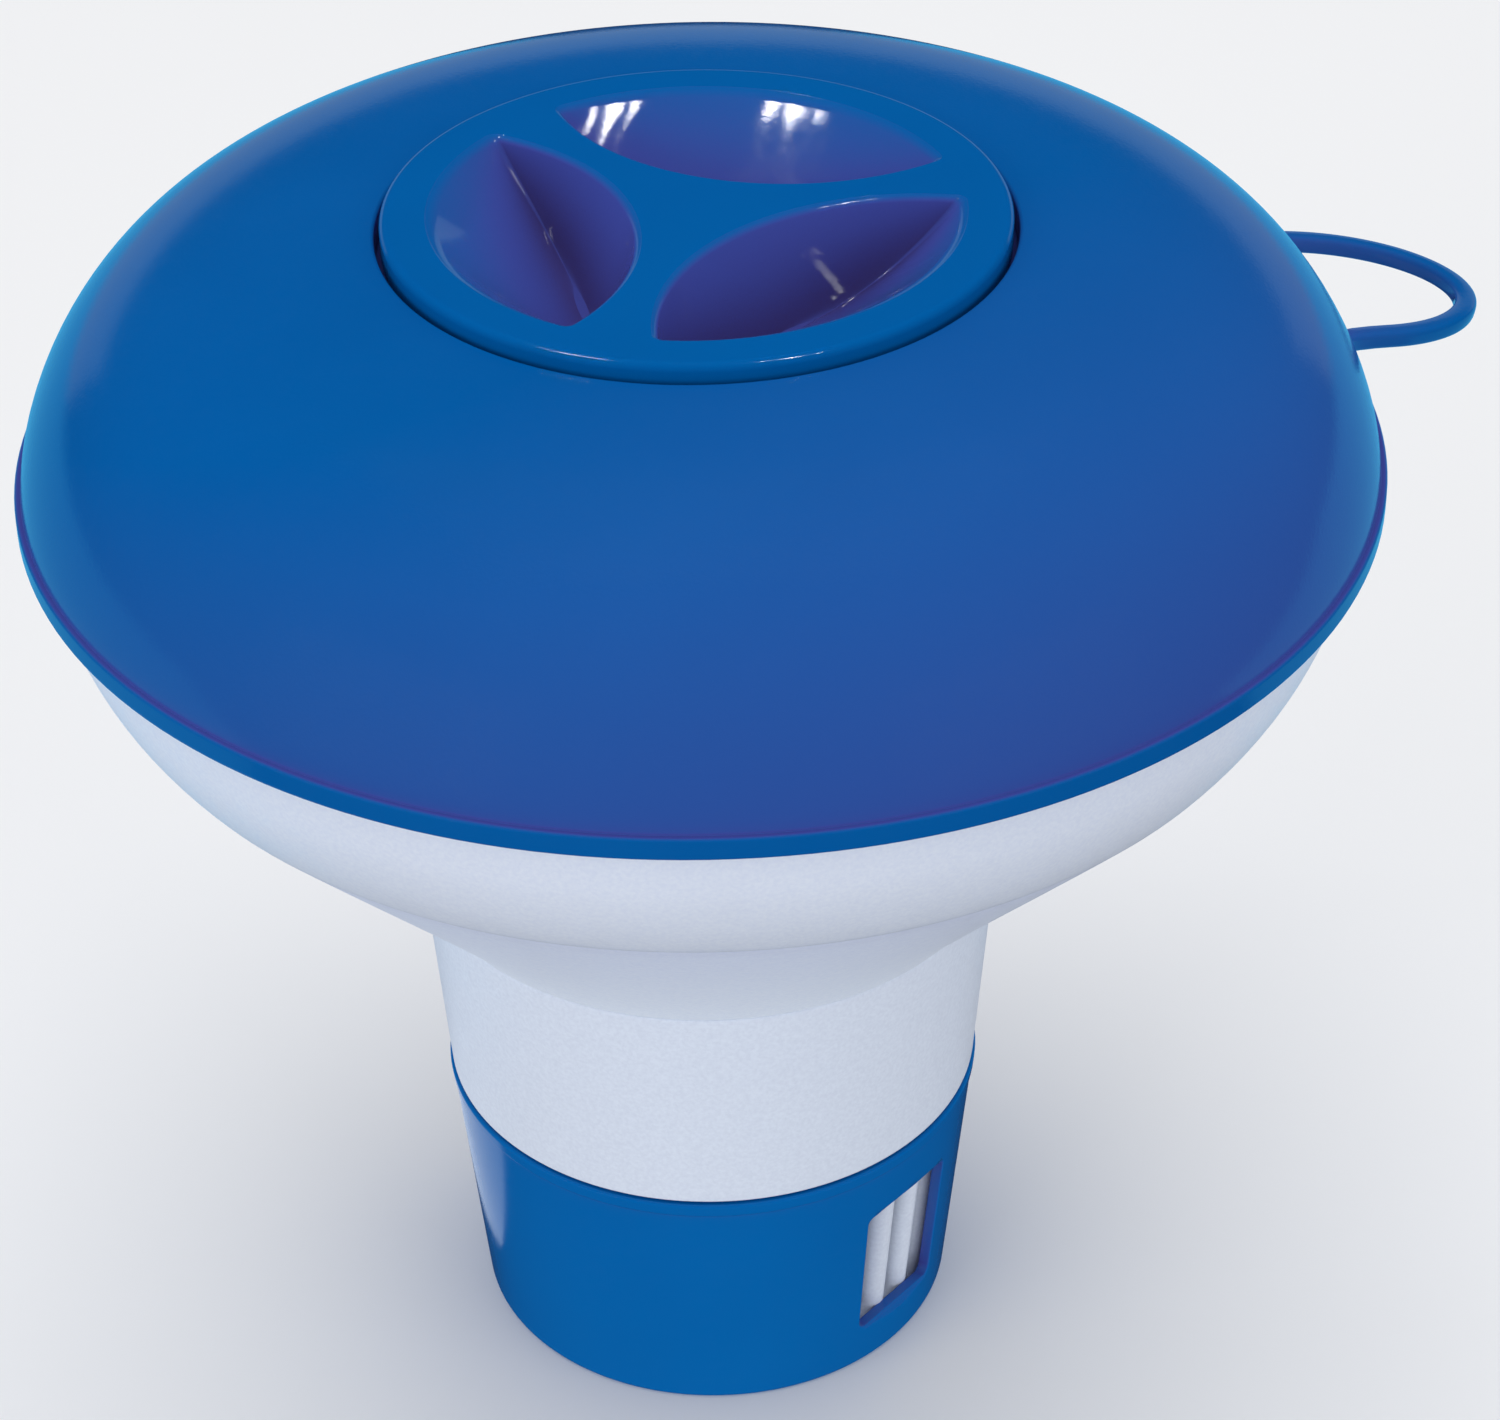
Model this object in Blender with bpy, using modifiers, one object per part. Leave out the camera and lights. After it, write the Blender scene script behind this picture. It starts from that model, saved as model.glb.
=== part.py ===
"""Floating chlorine dispenser for pools and spas, for Blender 4.5.

Two moulded shells make a sealed disc-shaped float. A chamber tube for chlorine tablets runs
down through it, closed above by a twist-lock cap and below by a cup that turns to cover or
uncover the tube's slots.

The origin is the centre of the cup's flat underside, +Z is up and every moving piece turns or
slides on the Z axis. Lengths below are millimetres, and MM turns them into Blender's metres.
"""

import math

import bmesh
import bpy
from mathutils import Matrix, Vector

MM = 0.001
GAP = 0.3
AXIS_MERGE = 0.0001

# Steps round a full turn
SHELL_STEPS = 48
INNER_STEPS = 48

# Float: the disc's outer size, where its rim sits, and the wall of both shells
FLOAT_RADIUS = 63.5
RIM_Z = 97.5
WALL = 1.8

# Dome
FLANGE_HEIGHT = 2.2
FLANGE_EDGE = 0.5
FLANGE_TOP = RIM_Z + FLANGE_HEIGHT
FLANGE_SLOPE = 0.2
CROWN_RADIUS = 62.9
CROWN_RISE = 22.7
CROWN_STATIONS = 12
JOINT_INNER_RADIUS = 59.0
JOINT_ROOF = FLANGE_TOP - 0.5

# Bowl
BOWL_RADIUS = 61.3
BOWL_DEPTH = 28.5
BOWL_BOTTOM_RADIUS = 56.0
BOWL_STATIONS = 9
LIP_RADIUS = 57.0
LIP_RISE = 3.0
LIP_WALL = 1.6
LIP_ROOT = 3.5
LIP_CLEARANCE = 5.0
FLARE_POWER = 1.1
FLARE_STATIONS = 6
FLARE_WALL = (1.3, 1.25)
FLARE_INNER_START = 2
NECK_BORE_HEIGHT = 4.2

# Stem: the cone that the neck, the tube and the cup share
STEM_RADIUS_AT_RIM = 32.2
STEM_SLOPE = 0.0787
SEAM_Z = 53.0
NECK_STEP = 0.3

# Chamber tube
TUBE_RADIUS = 27.6
TUBE_BORE = 26.0
TUBE_BORE_START = 54.0
TUBE_TOP = 113.0
SHOULDER_Z = 28.7
SHOULDER_FUNNEL = 1.1
SHOULDER_FUNNEL_LOW = 0.5
SHOULDER_FUNNEL_HIGH = 1.5
SEAT_WALL = 1.6
SEAT_EDGE = 0.5
SLOT_WIDTH = 1.4
SLOT_LOW = 4.6
SLOT_HIGH = 21.9
SLOTS_PER_SIDE = 5
SLOT_PITCH = math.radians(10.4)
SLOT_TURN = math.radians(2.1)
SLOT_NEAR = 15.0
SLOT_FAR = 30.0

# Control ring: a cup with two windows
RING_HEIGHT = 28.4
RING_FLOOR = 1.6
RING_WALL = 1.2
RING_TOP_RADIUS = 26.9
RING_BASE_RADIUS = 24.1
LIP_PROUD = 0.15
LIP_HEIGHT = 1.3
WINDOW_LOW = 5.2
WINDOW_HIGH = 21.1
WINDOW_WIDTH = 11.9
WINDOW_CORNER = 0.8
WINDOW_TURN = math.radians(-40.75)
WINDOW_NEAR = 20.0
WINDOW_FAR = 30.0
BEAD_Z = 25.4
BEAD_RADIUS = 24.9
BEAD_FLAT = 0.3
BEAD_FOOT = 1.2
GROOVE_RADIUS = 24.5
GROOVE_FLAT = 0.7
GROOVE_FOOT_LOW = 1.4
GROOVE_FOOT_HIGH = 1.7
BASE_EDGE = 0.7
STOP_ANGLE = math.radians(90)
STOP_WIDTH = 3.0
STOP_LOW = 27.3
STOP_REACH = 26.1
STOP_ROOT = 0.5
STOP_MARGIN = math.radians(4.6)
STOP_RECESS_RADIUS = 24.3

# Cap seat in the dome
SEAT_RADIUS = 29.1
LEDGE_TOP = 119.2
LEDGE_BOTTOM = LEDGE_TOP - 1.8
COLLAR_RADIUS = 29.6
COLLAR_BORE = 27.9
COLLAR_BOTTOM = 106.0
COLLAR_FILLET = 1.4

# Cap
CAP_RADIUS = 28.6
CAP_TOP = 123.7
CAP_PLATE = 1.8
CAP_EDGE = 1.0
CAP_UNDERSIDE = 120.6
SKIRT_RADIUS = 25.6
SKIRT_WALL = 1.6
SKIRT_BOTTOM = 111.0
CAP_TURN = math.radians(71.8)
POCKET_OUTER = 24.0
POCKET_INNER = 22.9
POCKET_INNER_CENTRE = 28.9
POCKET_DEPTH = 9.0
POCKET_WALL = 1.5
POCKET_LEVELS = (0.3, 0.6, 0.82, 1.0)
KEEL_X = 10.5
KEEL_WIDTH = 0.08
KEEL_FLAT = 0.957
KEEL_CURVE = (1.1, 1 / 3)
LUG_WIDTH = 8.0
LUG_ROOT = 24.8
LUG_REACH = 27.2
LUG_LOW = 114.2
LUG_HIGH = 116.6
LUG_TRAVEL = math.radians(60)
NOTCH_WIDTH = 9.4
NOTCH_NEAR = 24.0
STOP_RIB_WIDTH = 2.4
STOP_RIB_SIDE = math.radians(13)
STOP_RIB_NEAR = 26.5
STOP_RIB_FAR = 28.6
STOP_RIB_MARGIN = 0.5
CLEAN_CUT = 1.0

# Cap seal
SEAL_INNER = 26.2
SEAL_OUTER = 28.3

# Tether loop, moulded on the dome's flange
LOOP_TURN = math.radians(26)
LOOP_CENTRE = 69.9
LOOP_REACH = 15.0
LOOP_HALF_WIDTH = 11.0
LOOP_ROD = 1.05
LOOP_DROOP = math.radians(12)
LOOP_ROOT = 61.5
LOOP_ROOT_SPREAD = 1.2
LOOP_LEG = 1.0
LOOP_STATIONS = 16
LOOP_GUSSET = 5.5
LOOP_GUSSET_THICKNESS = 1.5
LOOP_GUSSET_ROOT = 1.5
LOOP_GUSSET_TIP = 2.4
LOOP_GUSSET_BULGE = (1.2, 1.5)

POCKET_ARC_STEPS = 10
RECESS_ARC_STEPS = 12
CORNER_STEPS = 3
CAP_EDGE_STEPS = 4

THIRDS = [i * math.tau / 3 for i in range(3)]
HALVES = [0, math.pi]


def collection(name):
    made = bpy.data.collections.new(name)
    bpy.context.scene.collection.children.link(made)
    return made


def clear_scene():
    for obj in list(bpy.data.objects):
        bpy.data.objects.remove(obj, do_unlink=True)


def plastic(name, colour, roughness):
    material = bpy.data.materials.new(name)
    material.use_nodes = True
    shader = material.node_tree.nodes["Principled BSDF"]
    shader.inputs["Base Color"].default_value = (*colour, 1)
    shader.inputs["Roughness"].default_value = roughness
    shader.inputs["Metallic"].default_value = 0
    material.diffuse_color = (*colour, 1)
    return material


def mesh_object(name, bm, into):
    bmesh.ops.recalc_face_normals(bm, faces=bm.faces[:])
    mesh = bpy.data.meshes.new(name)
    bm.to_mesh(mesh)
    bm.free()
    obj = bpy.data.objects.new(name, mesh)
    into.objects.link(obj)
    return obj


def turned(name, profile, into, steps, closed):
    """A turned solid from (radius, height) points, which run down its outer side from the top."""
    bm = bmesh.new()
    verts = [bm.verts.new((r * MM, 0, z * MM)) for r, z in profile]
    for first, second in zip(verts, verts[1:]):
        bm.edges.new((first, second))
    if closed:
        bm.edges.new((verts[-1], verts[0]))
    mesh = bpy.data.meshes.new(name)
    bm.to_mesh(mesh)
    bm.free()
    obj = bpy.data.objects.new(name, mesh)
    into.objects.link(obj)
    screw = obj.modifiers.new("turn", "SCREW")
    screw.axis = "Z"
    screw.angle = math.tau
    screw.steps = steps
    screw.render_steps = steps
    screw.use_merge_vertices = True
    screw.merge_threshold = AXIS_MERGE
    screw.use_smooth_shade = True
    return obj


def prism(name, outline, low, high, into):
    """A flat outline of (x, y) points extruded from low to high."""
    return stack(name, [[(x, y, z) for x, y in outline] for z in (high, low)], into)


def stack(name, rings, into):
    """A closed solid through rings of (x, y, z) points, all with the same number of points."""
    bm = bmesh.new()
    made = [[bm.verts.new(Vector(point) * MM) for point in ring] for ring in rings]
    for above, below in zip(made, made[1:]):
        for k in range(len(above)):
            bm.faces.new((above[k - 1], above[k], below[k], below[k - 1]))
    bm.faces.new(made[0])
    bm.faces.new(made[-1])
    return mesh_object(name, bm, into)


def blocks(name, places, into):
    """One mesh of separate boxes, each (angle, low radius, high radius, width, low z, high z)."""
    bm = bmesh.new()
    for angle, near, far, width, low, high in places:
        size = Matrix.Diagonal(((far - near) * MM, width * MM, (high - low) * MM, 1))
        middle = Matrix.Translation(((near + far) / 2 * MM, 0, (low + high) / 2 * MM))
        bmesh.ops.create_cube(bm, size=1, matrix=Matrix.Rotation(angle, 4, "Z") @ middle @ size)
    return mesh_object(name, bm, into)


def boolean(target, other, operation):
    modifier = target.modifiers.new(other.name, "BOOLEAN")
    modifier.operation = operation
    modifier.solver = "EXACT"
    modifier.object = other
    other.parent = target
    other.hide_render = True
    other.display_type = "WIRE"


def cut(target, other):
    boolean(target, other, "DIFFERENCE")


def join(target, other):
    boolean(target, other, "UNION")


def arc(centre, radius, start, end, count):
    """Points of an arc from angle start to angle end, both included."""
    step = (end - start) / count
    angles = [start + step * i for i in range(count + 1)]
    return [(centre[0] + radius * math.cos(a), centre[1] + radius * math.sin(a)) for a in angles]


def sector(inner, outer, start, end, count):
    """Outline of a flat ring segment round the axis."""
    return arc((0, 0), outer, start, end, count) + arc((0, 0), inner, end, start, count)


def rounded_rectangle(length, width, corner):
    outline = []
    for quarter, (sx, sy) in enumerate([(1, 1), (-1, 1), (-1, -1), (1, -1)]):
        centre = (sx * (length / 2 - corner), sy * (width / 2 - corner))
        start = quarter * math.pi / 2
        outline += arc(centre, corner, start, start + math.pi / 2, CORNER_STEPS)
    return outline


def stem_radius(z):
    """Outer radius of the stem's cone, which widens upwards."""
    return STEM_RADIUS_AT_RIM - STEM_SLOPE * (RIM_Z - z)


def ring_radius(z):
    """Outer radius of the control ring's cone."""
    return RING_BASE_RADIUS + (RING_TOP_RADIUS - RING_BASE_RADIUS) * z / RING_HEIGHT


def crown(radius, rise, inner_radius):
    """The dome's curve from inner_radius out to the flange: flat on top, rolling over to vertical."""
    start = math.asin((inner_radius / radius) ** 3)
    points = []
    for i in range(CROWN_STATIONS + 1):
        angle = start + (math.pi / 2 - start) * i / CROWN_STATIONS
        side = max(math.cos(angle), 0)
        points.append((radius * math.sin(angle) ** (1 / 3), FLANGE_TOP + rise * side**1.36))
    return points


def bowl_curve(radius, depth, inner_radius):
    """The bowl's curve from its rim down to inner_radius on its underside."""
    end = math.asin((inner_radius / radius) ** 2)
    points = []
    for i in range(BOWL_STATIONS + 1):
        angle = math.pi / 2 + (end - math.pi / 2) * i / BOWL_STATIONS
        side = max(math.cos(angle), 0)
        points.append((radius * math.sin(angle) ** 0.5, RIM_Z - depth * side**1.064))
    return points


def dome_profile():
    outside = crown(CROWN_RADIUS, CROWN_RISE, SEAT_RADIUS)
    outside += [
        (FLOAT_RADIUS - FLANGE_EDGE / 2, FLANGE_TOP - FLANGE_SLOPE),
        (FLOAT_RADIUS, FLANGE_TOP - FLANGE_EDGE),
        (FLOAT_RADIUS, RIM_Z + FLANGE_EDGE),
        (FLOAT_RADIUS - FLANGE_EDGE, RIM_Z),
        (JOINT_INNER_RADIUS, RIM_Z),
        (JOINT_INNER_RADIUS, JOINT_ROOF),
    ]
    inside = crown(CROWN_RADIUS - WALL, CROWN_RISE - WALL, COLLAR_RADIUS + COLLAR_FILLET)
    inside = inside[-2::-1]
    seat = [
        (COLLAR_RADIUS + COLLAR_FILLET, LEDGE_BOTTOM),
        (COLLAR_RADIUS, LEDGE_BOTTOM - COLLAR_FILLET),
        (COLLAR_RADIUS, COLLAR_BOTTOM),
        (COLLAR_BORE, COLLAR_BOTTOM),
        (COLLAR_BORE, LEDGE_BOTTOM),
        (TUBE_BORE, LEDGE_BOTTOM),
        (TUBE_BORE, LEDGE_TOP),
        (SEAT_RADIUS, LEDGE_TOP),
    ]
    return outside + inside + seat


def loop_path():
    """Centre line of the tether loop: two legs that leave the flange and a half ellipse."""
    legs = [(LOOP_ROOT, LOOP_HALF_WIDTH + LOOP_ROOT_SPREAD)]
    legs.append((FLOAT_RADIUS + LOOP_LEG, LOOP_HALF_WIDTH + LOOP_ROOT_SPREAD / 3))
    bow = []
    for i in range(LOOP_STATIONS + 1):
        angle = math.pi / 2 - math.pi * i / LOOP_STATIONS
        out = LOOP_CENTRE + LOOP_REACH * math.cos(angle)
        bow.append((out, LOOP_HALF_WIDTH * math.sin(angle)))
    plan = legs + bow + [(out, -side) for out, side in reversed(legs)]
    height = RIM_Z + FLANGE_HEIGHT / 2
    drop = math.tan(LOOP_DROOP)
    return [(out, side, height - max(out - FLOAT_RADIUS, 0) * drop) for out, side in plan]


def tether_rod(into):
    """The loop's rod as a closed mesh, ready to be joined to the dome."""
    curve = bpy.data.curves.new("tether_rod", "CURVE")
    curve.dimensions = "3D"
    curve.bevel_depth = LOOP_ROD * MM
    curve.bevel_resolution = 2
    curve.use_fill_caps = True
    points = loop_path()
    spline = curve.splines.new("POLY")
    spline.points.add(len(points) - 1)
    for point, place in zip(spline.points, points):
        point.co = (*(value * MM for value in place), 1)
    guide = bpy.data.objects.new("tether_rod_curve", curve)
    into.objects.link(guide)
    graph = bpy.context.evaluated_depsgraph_get()
    mesh = bpy.data.meshes.new_from_object(guide.evaluated_get(graph))
    bm = bmesh.new()
    bm.from_mesh(mesh)
    bmesh.ops.remove_doubles(bm, verts=bm.verts[:], dist=AXIS_MERGE / 10)
    rod = mesh_object("tether_rod", bm, into)
    rod.matrix_world = guide.matrix_world
    bpy.data.objects.remove(guide, do_unlink=True)
    bpy.data.meshes.remove(mesh)
    return rod


def tether_gusset(side, into):
    """Flat web that blends one leg of the loop into the flange's edge."""
    leg = math.asin((LOOP_HALF_WIDTH + LOOP_ROOT_SPREAD) / FLOAT_RADIUS)
    far = leg + LOOP_GUSSET / FLOAT_RADIUS
    inner = FLOAT_RADIUS - LOOP_GUSSET_ROOT
    out, side_out = LOOP_GUSSET_BULGE
    outline = [
        (FLOAT_RADIUS + LOOP_GUSSET_TIP, LOOP_HALF_WIDTH + LOOP_ROOT_SPREAD / 2),
        (FLOAT_RADIUS * math.cos(leg) + out, FLOAT_RADIUS * math.sin(leg) + side_out),
        (FLOAT_RADIUS * math.cos(far), FLOAT_RADIUS * math.sin(far)),
        (inner * math.cos(far), inner * math.sin(far)),
        (inner * math.cos(leg), inner * math.sin(leg)),
    ]
    middle = RIM_Z + FLANGE_HEIGHT / 2
    low = middle - LOOP_GUSSET_THICKNESS / 2
    high = middle + LOOP_GUSSET_THICKNESS / 2
    name = "tether_gusset_left" if side > 0 else "tether_gusset_right"
    return prism(name, [(x, y * side) for x, y in outline], low, high, into)


def make_dome(parts, cutters, material):
    dome = turned("dome_shell", dome_profile(), parts, SHELL_STEPS, closed=True)
    dome.data.materials.append(material)
    first_lug = CAP_TURN + math.pi / 3 - LOOP_TURN
    notch_heights = (LEDGE_BOTTOM - GAP, LEDGE_TOP + GAP)
    rib_heights = (LUG_LOW - STOP_RIB_MARGIN, LEDGE_BOTTOM + STOP_RIB_MARGIN)
    notches = []
    ribs = []
    for third in THIRDS:
        lug = first_lug + third
        notches.append((lug, NOTCH_NEAR, COLLAR_BORE, NOTCH_WIDTH, *notch_heights))
        for angle in (lug + STOP_RIB_SIDE, lug - LUG_TRAVEL - STOP_RIB_SIDE):
            ribs.append((angle, STOP_RIB_NEAR, STOP_RIB_FAR, STOP_RIB_WIDTH, *rib_heights))
    cut(dome, blocks("ledge_notches", notches, cutters))
    join(dome, blocks("lug_stops", ribs, cutters))
    join(dome, tether_rod(cutters))
    for side in (1, -1):
        join(dome, tether_gusset(side, cutters))
    dome.rotation_euler.z = LOOP_TURN
    return dome


def bowl_profile():
    outside = bowl_curve(BOWL_RADIUS, BOWL_DEPTH, BOWL_BOTTOM_RADIUS)
    outside[0] = (BOWL_RADIUS, RIM_Z - GAP)
    neck_z = SEAM_Z + GAP
    flare = []
    for i in range(FLARE_STATIONS):
        part = i / FLARE_STATIONS
        z = neck_z + (outside[-1][1] - neck_z) * part
        neck = stem_radius(z) + NECK_STEP
        flare.append((neck + (BOWL_BOTTOM_RADIUS - neck) * part**FLARE_POWER, z))
    across, up = FLARE_WALL
    flare_inside = [(r - across, z + up) for r, z in flare[FLARE_INNER_START:]]
    neck_bore = TUBE_RADIUS + GAP
    collar = [(neck_bore, neck_z), (neck_bore, neck_z + NECK_BORE_HEIGHT)]
    inside = bowl_curve(BOWL_RADIUS - WALL, BOWL_DEPTH - WALL, BOWL_BOTTOM_RADIUS - across)
    inside = [point for point in reversed(inside) if point[1] < RIM_Z - LIP_CLEARANCE]
    lip = [
        (LIP_RADIUS, RIM_Z - LIP_ROOT),
        (LIP_RADIUS, RIM_Z + LIP_RISE),
        (LIP_RADIUS + LIP_WALL, RIM_Z + LIP_RISE),
        (LIP_RADIUS + LIP_WALL, RIM_Z - GAP),
    ]
    return outside + flare[::-1] + collar + flare_inside + inside + lip


def make_bowl(parts, material):
    bowl = turned("bowl_shell", bowl_profile(), parts, SHELL_STEPS, closed=True)
    bowl.data.materials.append(material)
    return bowl


def seat_radius(z):
    """Outer radius of the tube where the control ring turns on it."""
    return ring_radius(z) - RING_WALL - GAP


def tube_profile():
    bottom = RING_FLOOR + GAP
    floor = bottom + SEAT_WALL
    seat_bore = seat_radius(SHOULDER_Z) - SEAT_WALL
    inside = [
        (0, floor),
        (seat_radius(floor) - SEAT_WALL, floor),
        (seat_bore, SHOULDER_Z - SHOULDER_FUNNEL_LOW),
        (seat_bore + SHOULDER_FUNNEL, SHOULDER_Z + SHOULDER_FUNNEL_HIGH),
        (TUBE_BORE, TUBE_BORE_START),
        (TUBE_BORE, TUBE_TOP),
    ]
    groove_low = BEAD_Z - GROOVE_FOOT_LOW
    groove_high = BEAD_Z + GROOVE_FOOT_HIGH
    outside = [
        (TUBE_RADIUS, TUBE_TOP),
        (TUBE_RADIUS, SEAM_Z),
        (stem_radius(SEAM_Z) - GAP, SEAM_Z),
        (stem_radius(SEAM_Z), SEAM_Z - GAP),
        (stem_radius(SHOULDER_Z), SHOULDER_Z),
        (seat_radius(SHOULDER_Z), SHOULDER_Z),
        (seat_radius(groove_high), groove_high),
        (GROOVE_RADIUS, BEAD_Z + GROOVE_FLAT),
        (GROOVE_RADIUS, BEAD_Z - GROOVE_FLAT),
        (seat_radius(groove_low), groove_low),
        (seat_radius(bottom + SEAT_EDGE), bottom + SEAT_EDGE),
        (seat_radius(bottom) - SEAT_EDGE, bottom),
        (0, bottom),
    ]
    return inside + outside


def make_tube(parts, cutters, material):
    tube = turned("chamber_tube", tube_profile(), parts, INNER_STEPS, closed=False)
    tube.data.materials.append(material)
    slots = []
    middle = (SLOTS_PER_SIDE - 1) / 2
    for half in HALVES:
        for i in range(SLOTS_PER_SIDE):
            angle = half + SLOT_TURN + (i - middle) * SLOT_PITCH
            slots.append((angle, SLOT_NEAR, SLOT_FAR, SLOT_WIDTH, SLOT_LOW, SLOT_HIGH))
    cut(tube, blocks("tube_slots", slots, cutters))
    tab_top = SHOULDER_Z + STOP_ROOT
    tab = (STOP_ANGLE, GROOVE_RADIUS, STOP_REACH, STOP_WIDTH, STOP_LOW, tab_top)
    join(tube, blocks("turn_stop", [tab], cutters))
    tube.rotation_euler.z = WINDOW_TURN
    return tube


def ring_profile():
    bead_low = BEAD_Z - BEAD_FOOT
    bead_high = BEAD_Z + BEAD_FOOT
    bore = [
        (0, RING_FLOOR),
        (ring_radius(RING_FLOOR) - RING_WALL, RING_FLOOR),
        (ring_radius(bead_low) - RING_WALL, bead_low),
        (BEAD_RADIUS, BEAD_Z - BEAD_FLAT),
        (BEAD_RADIUS, BEAD_Z + BEAD_FLAT),
        (ring_radius(bead_high) - RING_WALL, bead_high),
        (ring_radius(RING_HEIGHT) - RING_WALL, RING_HEIGHT),
    ]
    lip_low = RING_HEIGHT - LIP_HEIGHT
    outside = [
        (RING_TOP_RADIUS, RING_HEIGHT),
        (RING_TOP_RADIUS + LIP_PROUD, RING_HEIGHT - LIP_PROUD),
        (ring_radius(lip_low) + LIP_PROUD, lip_low),
        (ring_radius(lip_low), lip_low - LIP_PROUD),
        (ring_radius(BASE_EDGE), BASE_EDGE),
        (ring_radius(0) - BASE_EDGE, 0),
        (0, 0),
    ]
    return bore + outside


def make_ring(parts, cutters, material):
    ring = turned("control_ring", ring_profile(), parts, INNER_STEPS, closed=False)
    ring.data.materials.append(material)
    opening = rounded_rectangle(WINDOW_HIGH - WINDOW_LOW, WINDOW_WIDTH, WINDOW_CORNER)
    for name, half in zip(("window_front", "window_back"), HALVES):
        window = prism(name, opening, WINDOW_NEAR, WINDOW_FAR, cutters)
        window.location.z = (WINDOW_LOW + WINDOW_HIGH) / 2 * MM
        window.rotation_euler = (0, math.pi / 2, half)
        cut(ring, window)
    ends = (-STOP_MARGIN, STOP_ANGLE + STOP_MARGIN)
    outline = sector(STOP_RECESS_RADIUS, STOP_REACH + GAP, *ends, RECESS_ARC_STEPS)
    recess_top = RING_HEIGHT + CLEAN_CUT
    cut(ring, prism("stop_recess", outline, STOP_LOW - GAP, recess_top, cutters))
    ring.rotation_euler.z = WINDOW_TURN
    return ring


def make_seal(parts, material):
    low = LEDGE_TOP + GAP
    high = CAP_UNDERSIDE - GAP
    profile = [(SEAL_OUTER, high), (SEAL_OUTER, low), (SEAL_INNER, low), (SEAL_INNER, high)]
    seal = turned("cap_seal", profile, parts, INNER_STEPS, closed=True)
    seal.data.materials.append(material)
    return seal


def cap_profile():
    plate_bottom = CAP_TOP - CAP_PLATE
    edge_centre = (CAP_RADIUS - CAP_EDGE, CAP_TOP - CAP_EDGE)
    edge = arc(edge_centre, CAP_EDGE, math.pi / 2, 0, CAP_EDGE_STEPS)
    skirt_bore = SKIRT_RADIUS - SKIRT_WALL
    return [
        (0, CAP_TOP),
        *edge,
        (CAP_RADIUS, CAP_UNDERSIDE),
        (SKIRT_RADIUS, CAP_UNDERSIDE),
        (SKIRT_RADIUS, SKIRT_BOTTOM),
        (skirt_bore, SKIRT_BOTTOM),
        (skirt_bore, plate_bottom),
        (0, plate_bottom),
    ]


def lens(grow):
    """Outline of a finger pocket: the arc inside the cap's edge and the arc beside its web."""
    outer = POCKET_OUTER + grow
    inner = POCKET_INNER + grow
    far = POCKET_INNER_CENTRE
    corner_x = (outer**2 - inner**2 + far**2) / (2 * far)
    corner_y = math.sqrt(outer**2 - corner_x**2)
    outer_end = math.atan2(corner_y, corner_x)
    inner_end = math.atan2(corner_y, corner_x - far)
    outline = arc((0, 0), outer, -outer_end, outer_end, POCKET_ARC_STEPS)
    web_side = arc((far, 0), inner, inner_end, math.tau - inner_end, POCKET_ARC_STEPS)
    outline += web_side[1:-1]
    return outline


def pocket_solid(name, grow, depth, starts, into):
    """A finger pocket's space, or the pod round it: two curved sides that meet in a keel.

    starts are the first rings' depths below the cap's top, and depth is the keel's.
    """
    rings = []
    steepness, fullness = KEEL_CURVE
    for below in (*starts, *(depth * level for level in POCKET_LEVELS)):
        part = max(below / depth, 0)
        across = 1 - (1 - KEEL_WIDTH) * part
        along = (1 - (KEEL_FLAT * part) ** steepness) ** fullness
        outline = [(KEEL_X + (x - KEEL_X) * across, y * along) for x, y in lens(grow)]
        rings.append([(x, y, CAP_TOP - below) for x, y in outline])
    return stack(name, rings, into)


def make_cap(parts, cutters, material):
    cap = turned("cap", cap_profile(), parts, INNER_STEPS, closed=False)
    cap.data.materials.append(material)
    pod_depth = POCKET_DEPTH + POCKET_WALL
    for i, third in enumerate(THIRDS):
        pod = pocket_solid(f"pod_{i}", POCKET_WALL, pod_depth, (CLEAN_CUT,), cutters)
        pod.rotation_euler.z = third
        join(cap, pod)
    for i, third in enumerate(THIRDS):
        pocket = pocket_solid(f"pocket_{i}", 0, POCKET_DEPTH, (-CLEAN_CUT, 0), cutters)
        pocket.rotation_euler.z = third
        cut(cap, pocket)
    lugs = [
        (third + math.pi / 3, LUG_ROOT, LUG_REACH, LUG_WIDTH, LUG_LOW, LUG_HIGH)
        for third in THIRDS
    ]
    join(cap, blocks("cap_lugs", lugs, cutters))
    cap.rotation_euler.z = CAP_TURN
    return cap


def main():
    clear_scene()
    parts = collection("floating_chlorine_dispenser")
    cutters = collection("cutters")
    blue = plastic("blue_plastic", (0.003, 0.085, 0.42), 0.28)
    white = plastic("white_plastic", (0.74, 0.79, 0.85), 0.5)
    rubber = plastic("seal_rubber", (0.02, 0.02, 0.03), 0.6)
    make_dome(parts, cutters, blue)
    make_bowl(parts, white)
    make_tube(parts, cutters, white)
    make_ring(parts, cutters, blue)
    seal = make_seal(parts, rubber)
    cap = make_cap(parts, cutters, blue)
    cap.parent = seal


main()
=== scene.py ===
"""Looks of the floating chlorine dispenser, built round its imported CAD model, for Blender 4.5.

Each CAD node is replaced by a finer moulding of the same size: rounded edges, blended pockets,
rounded ribs and a smooth tether loop. Lengths below are millimetres in the frame's own axes, and
MM turns them into metres.
"""

import math

import bmesh
import bpy
from mathutils import Matrix, Vector
from mathutils.geometry import delaunay_2d_cdt


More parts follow.
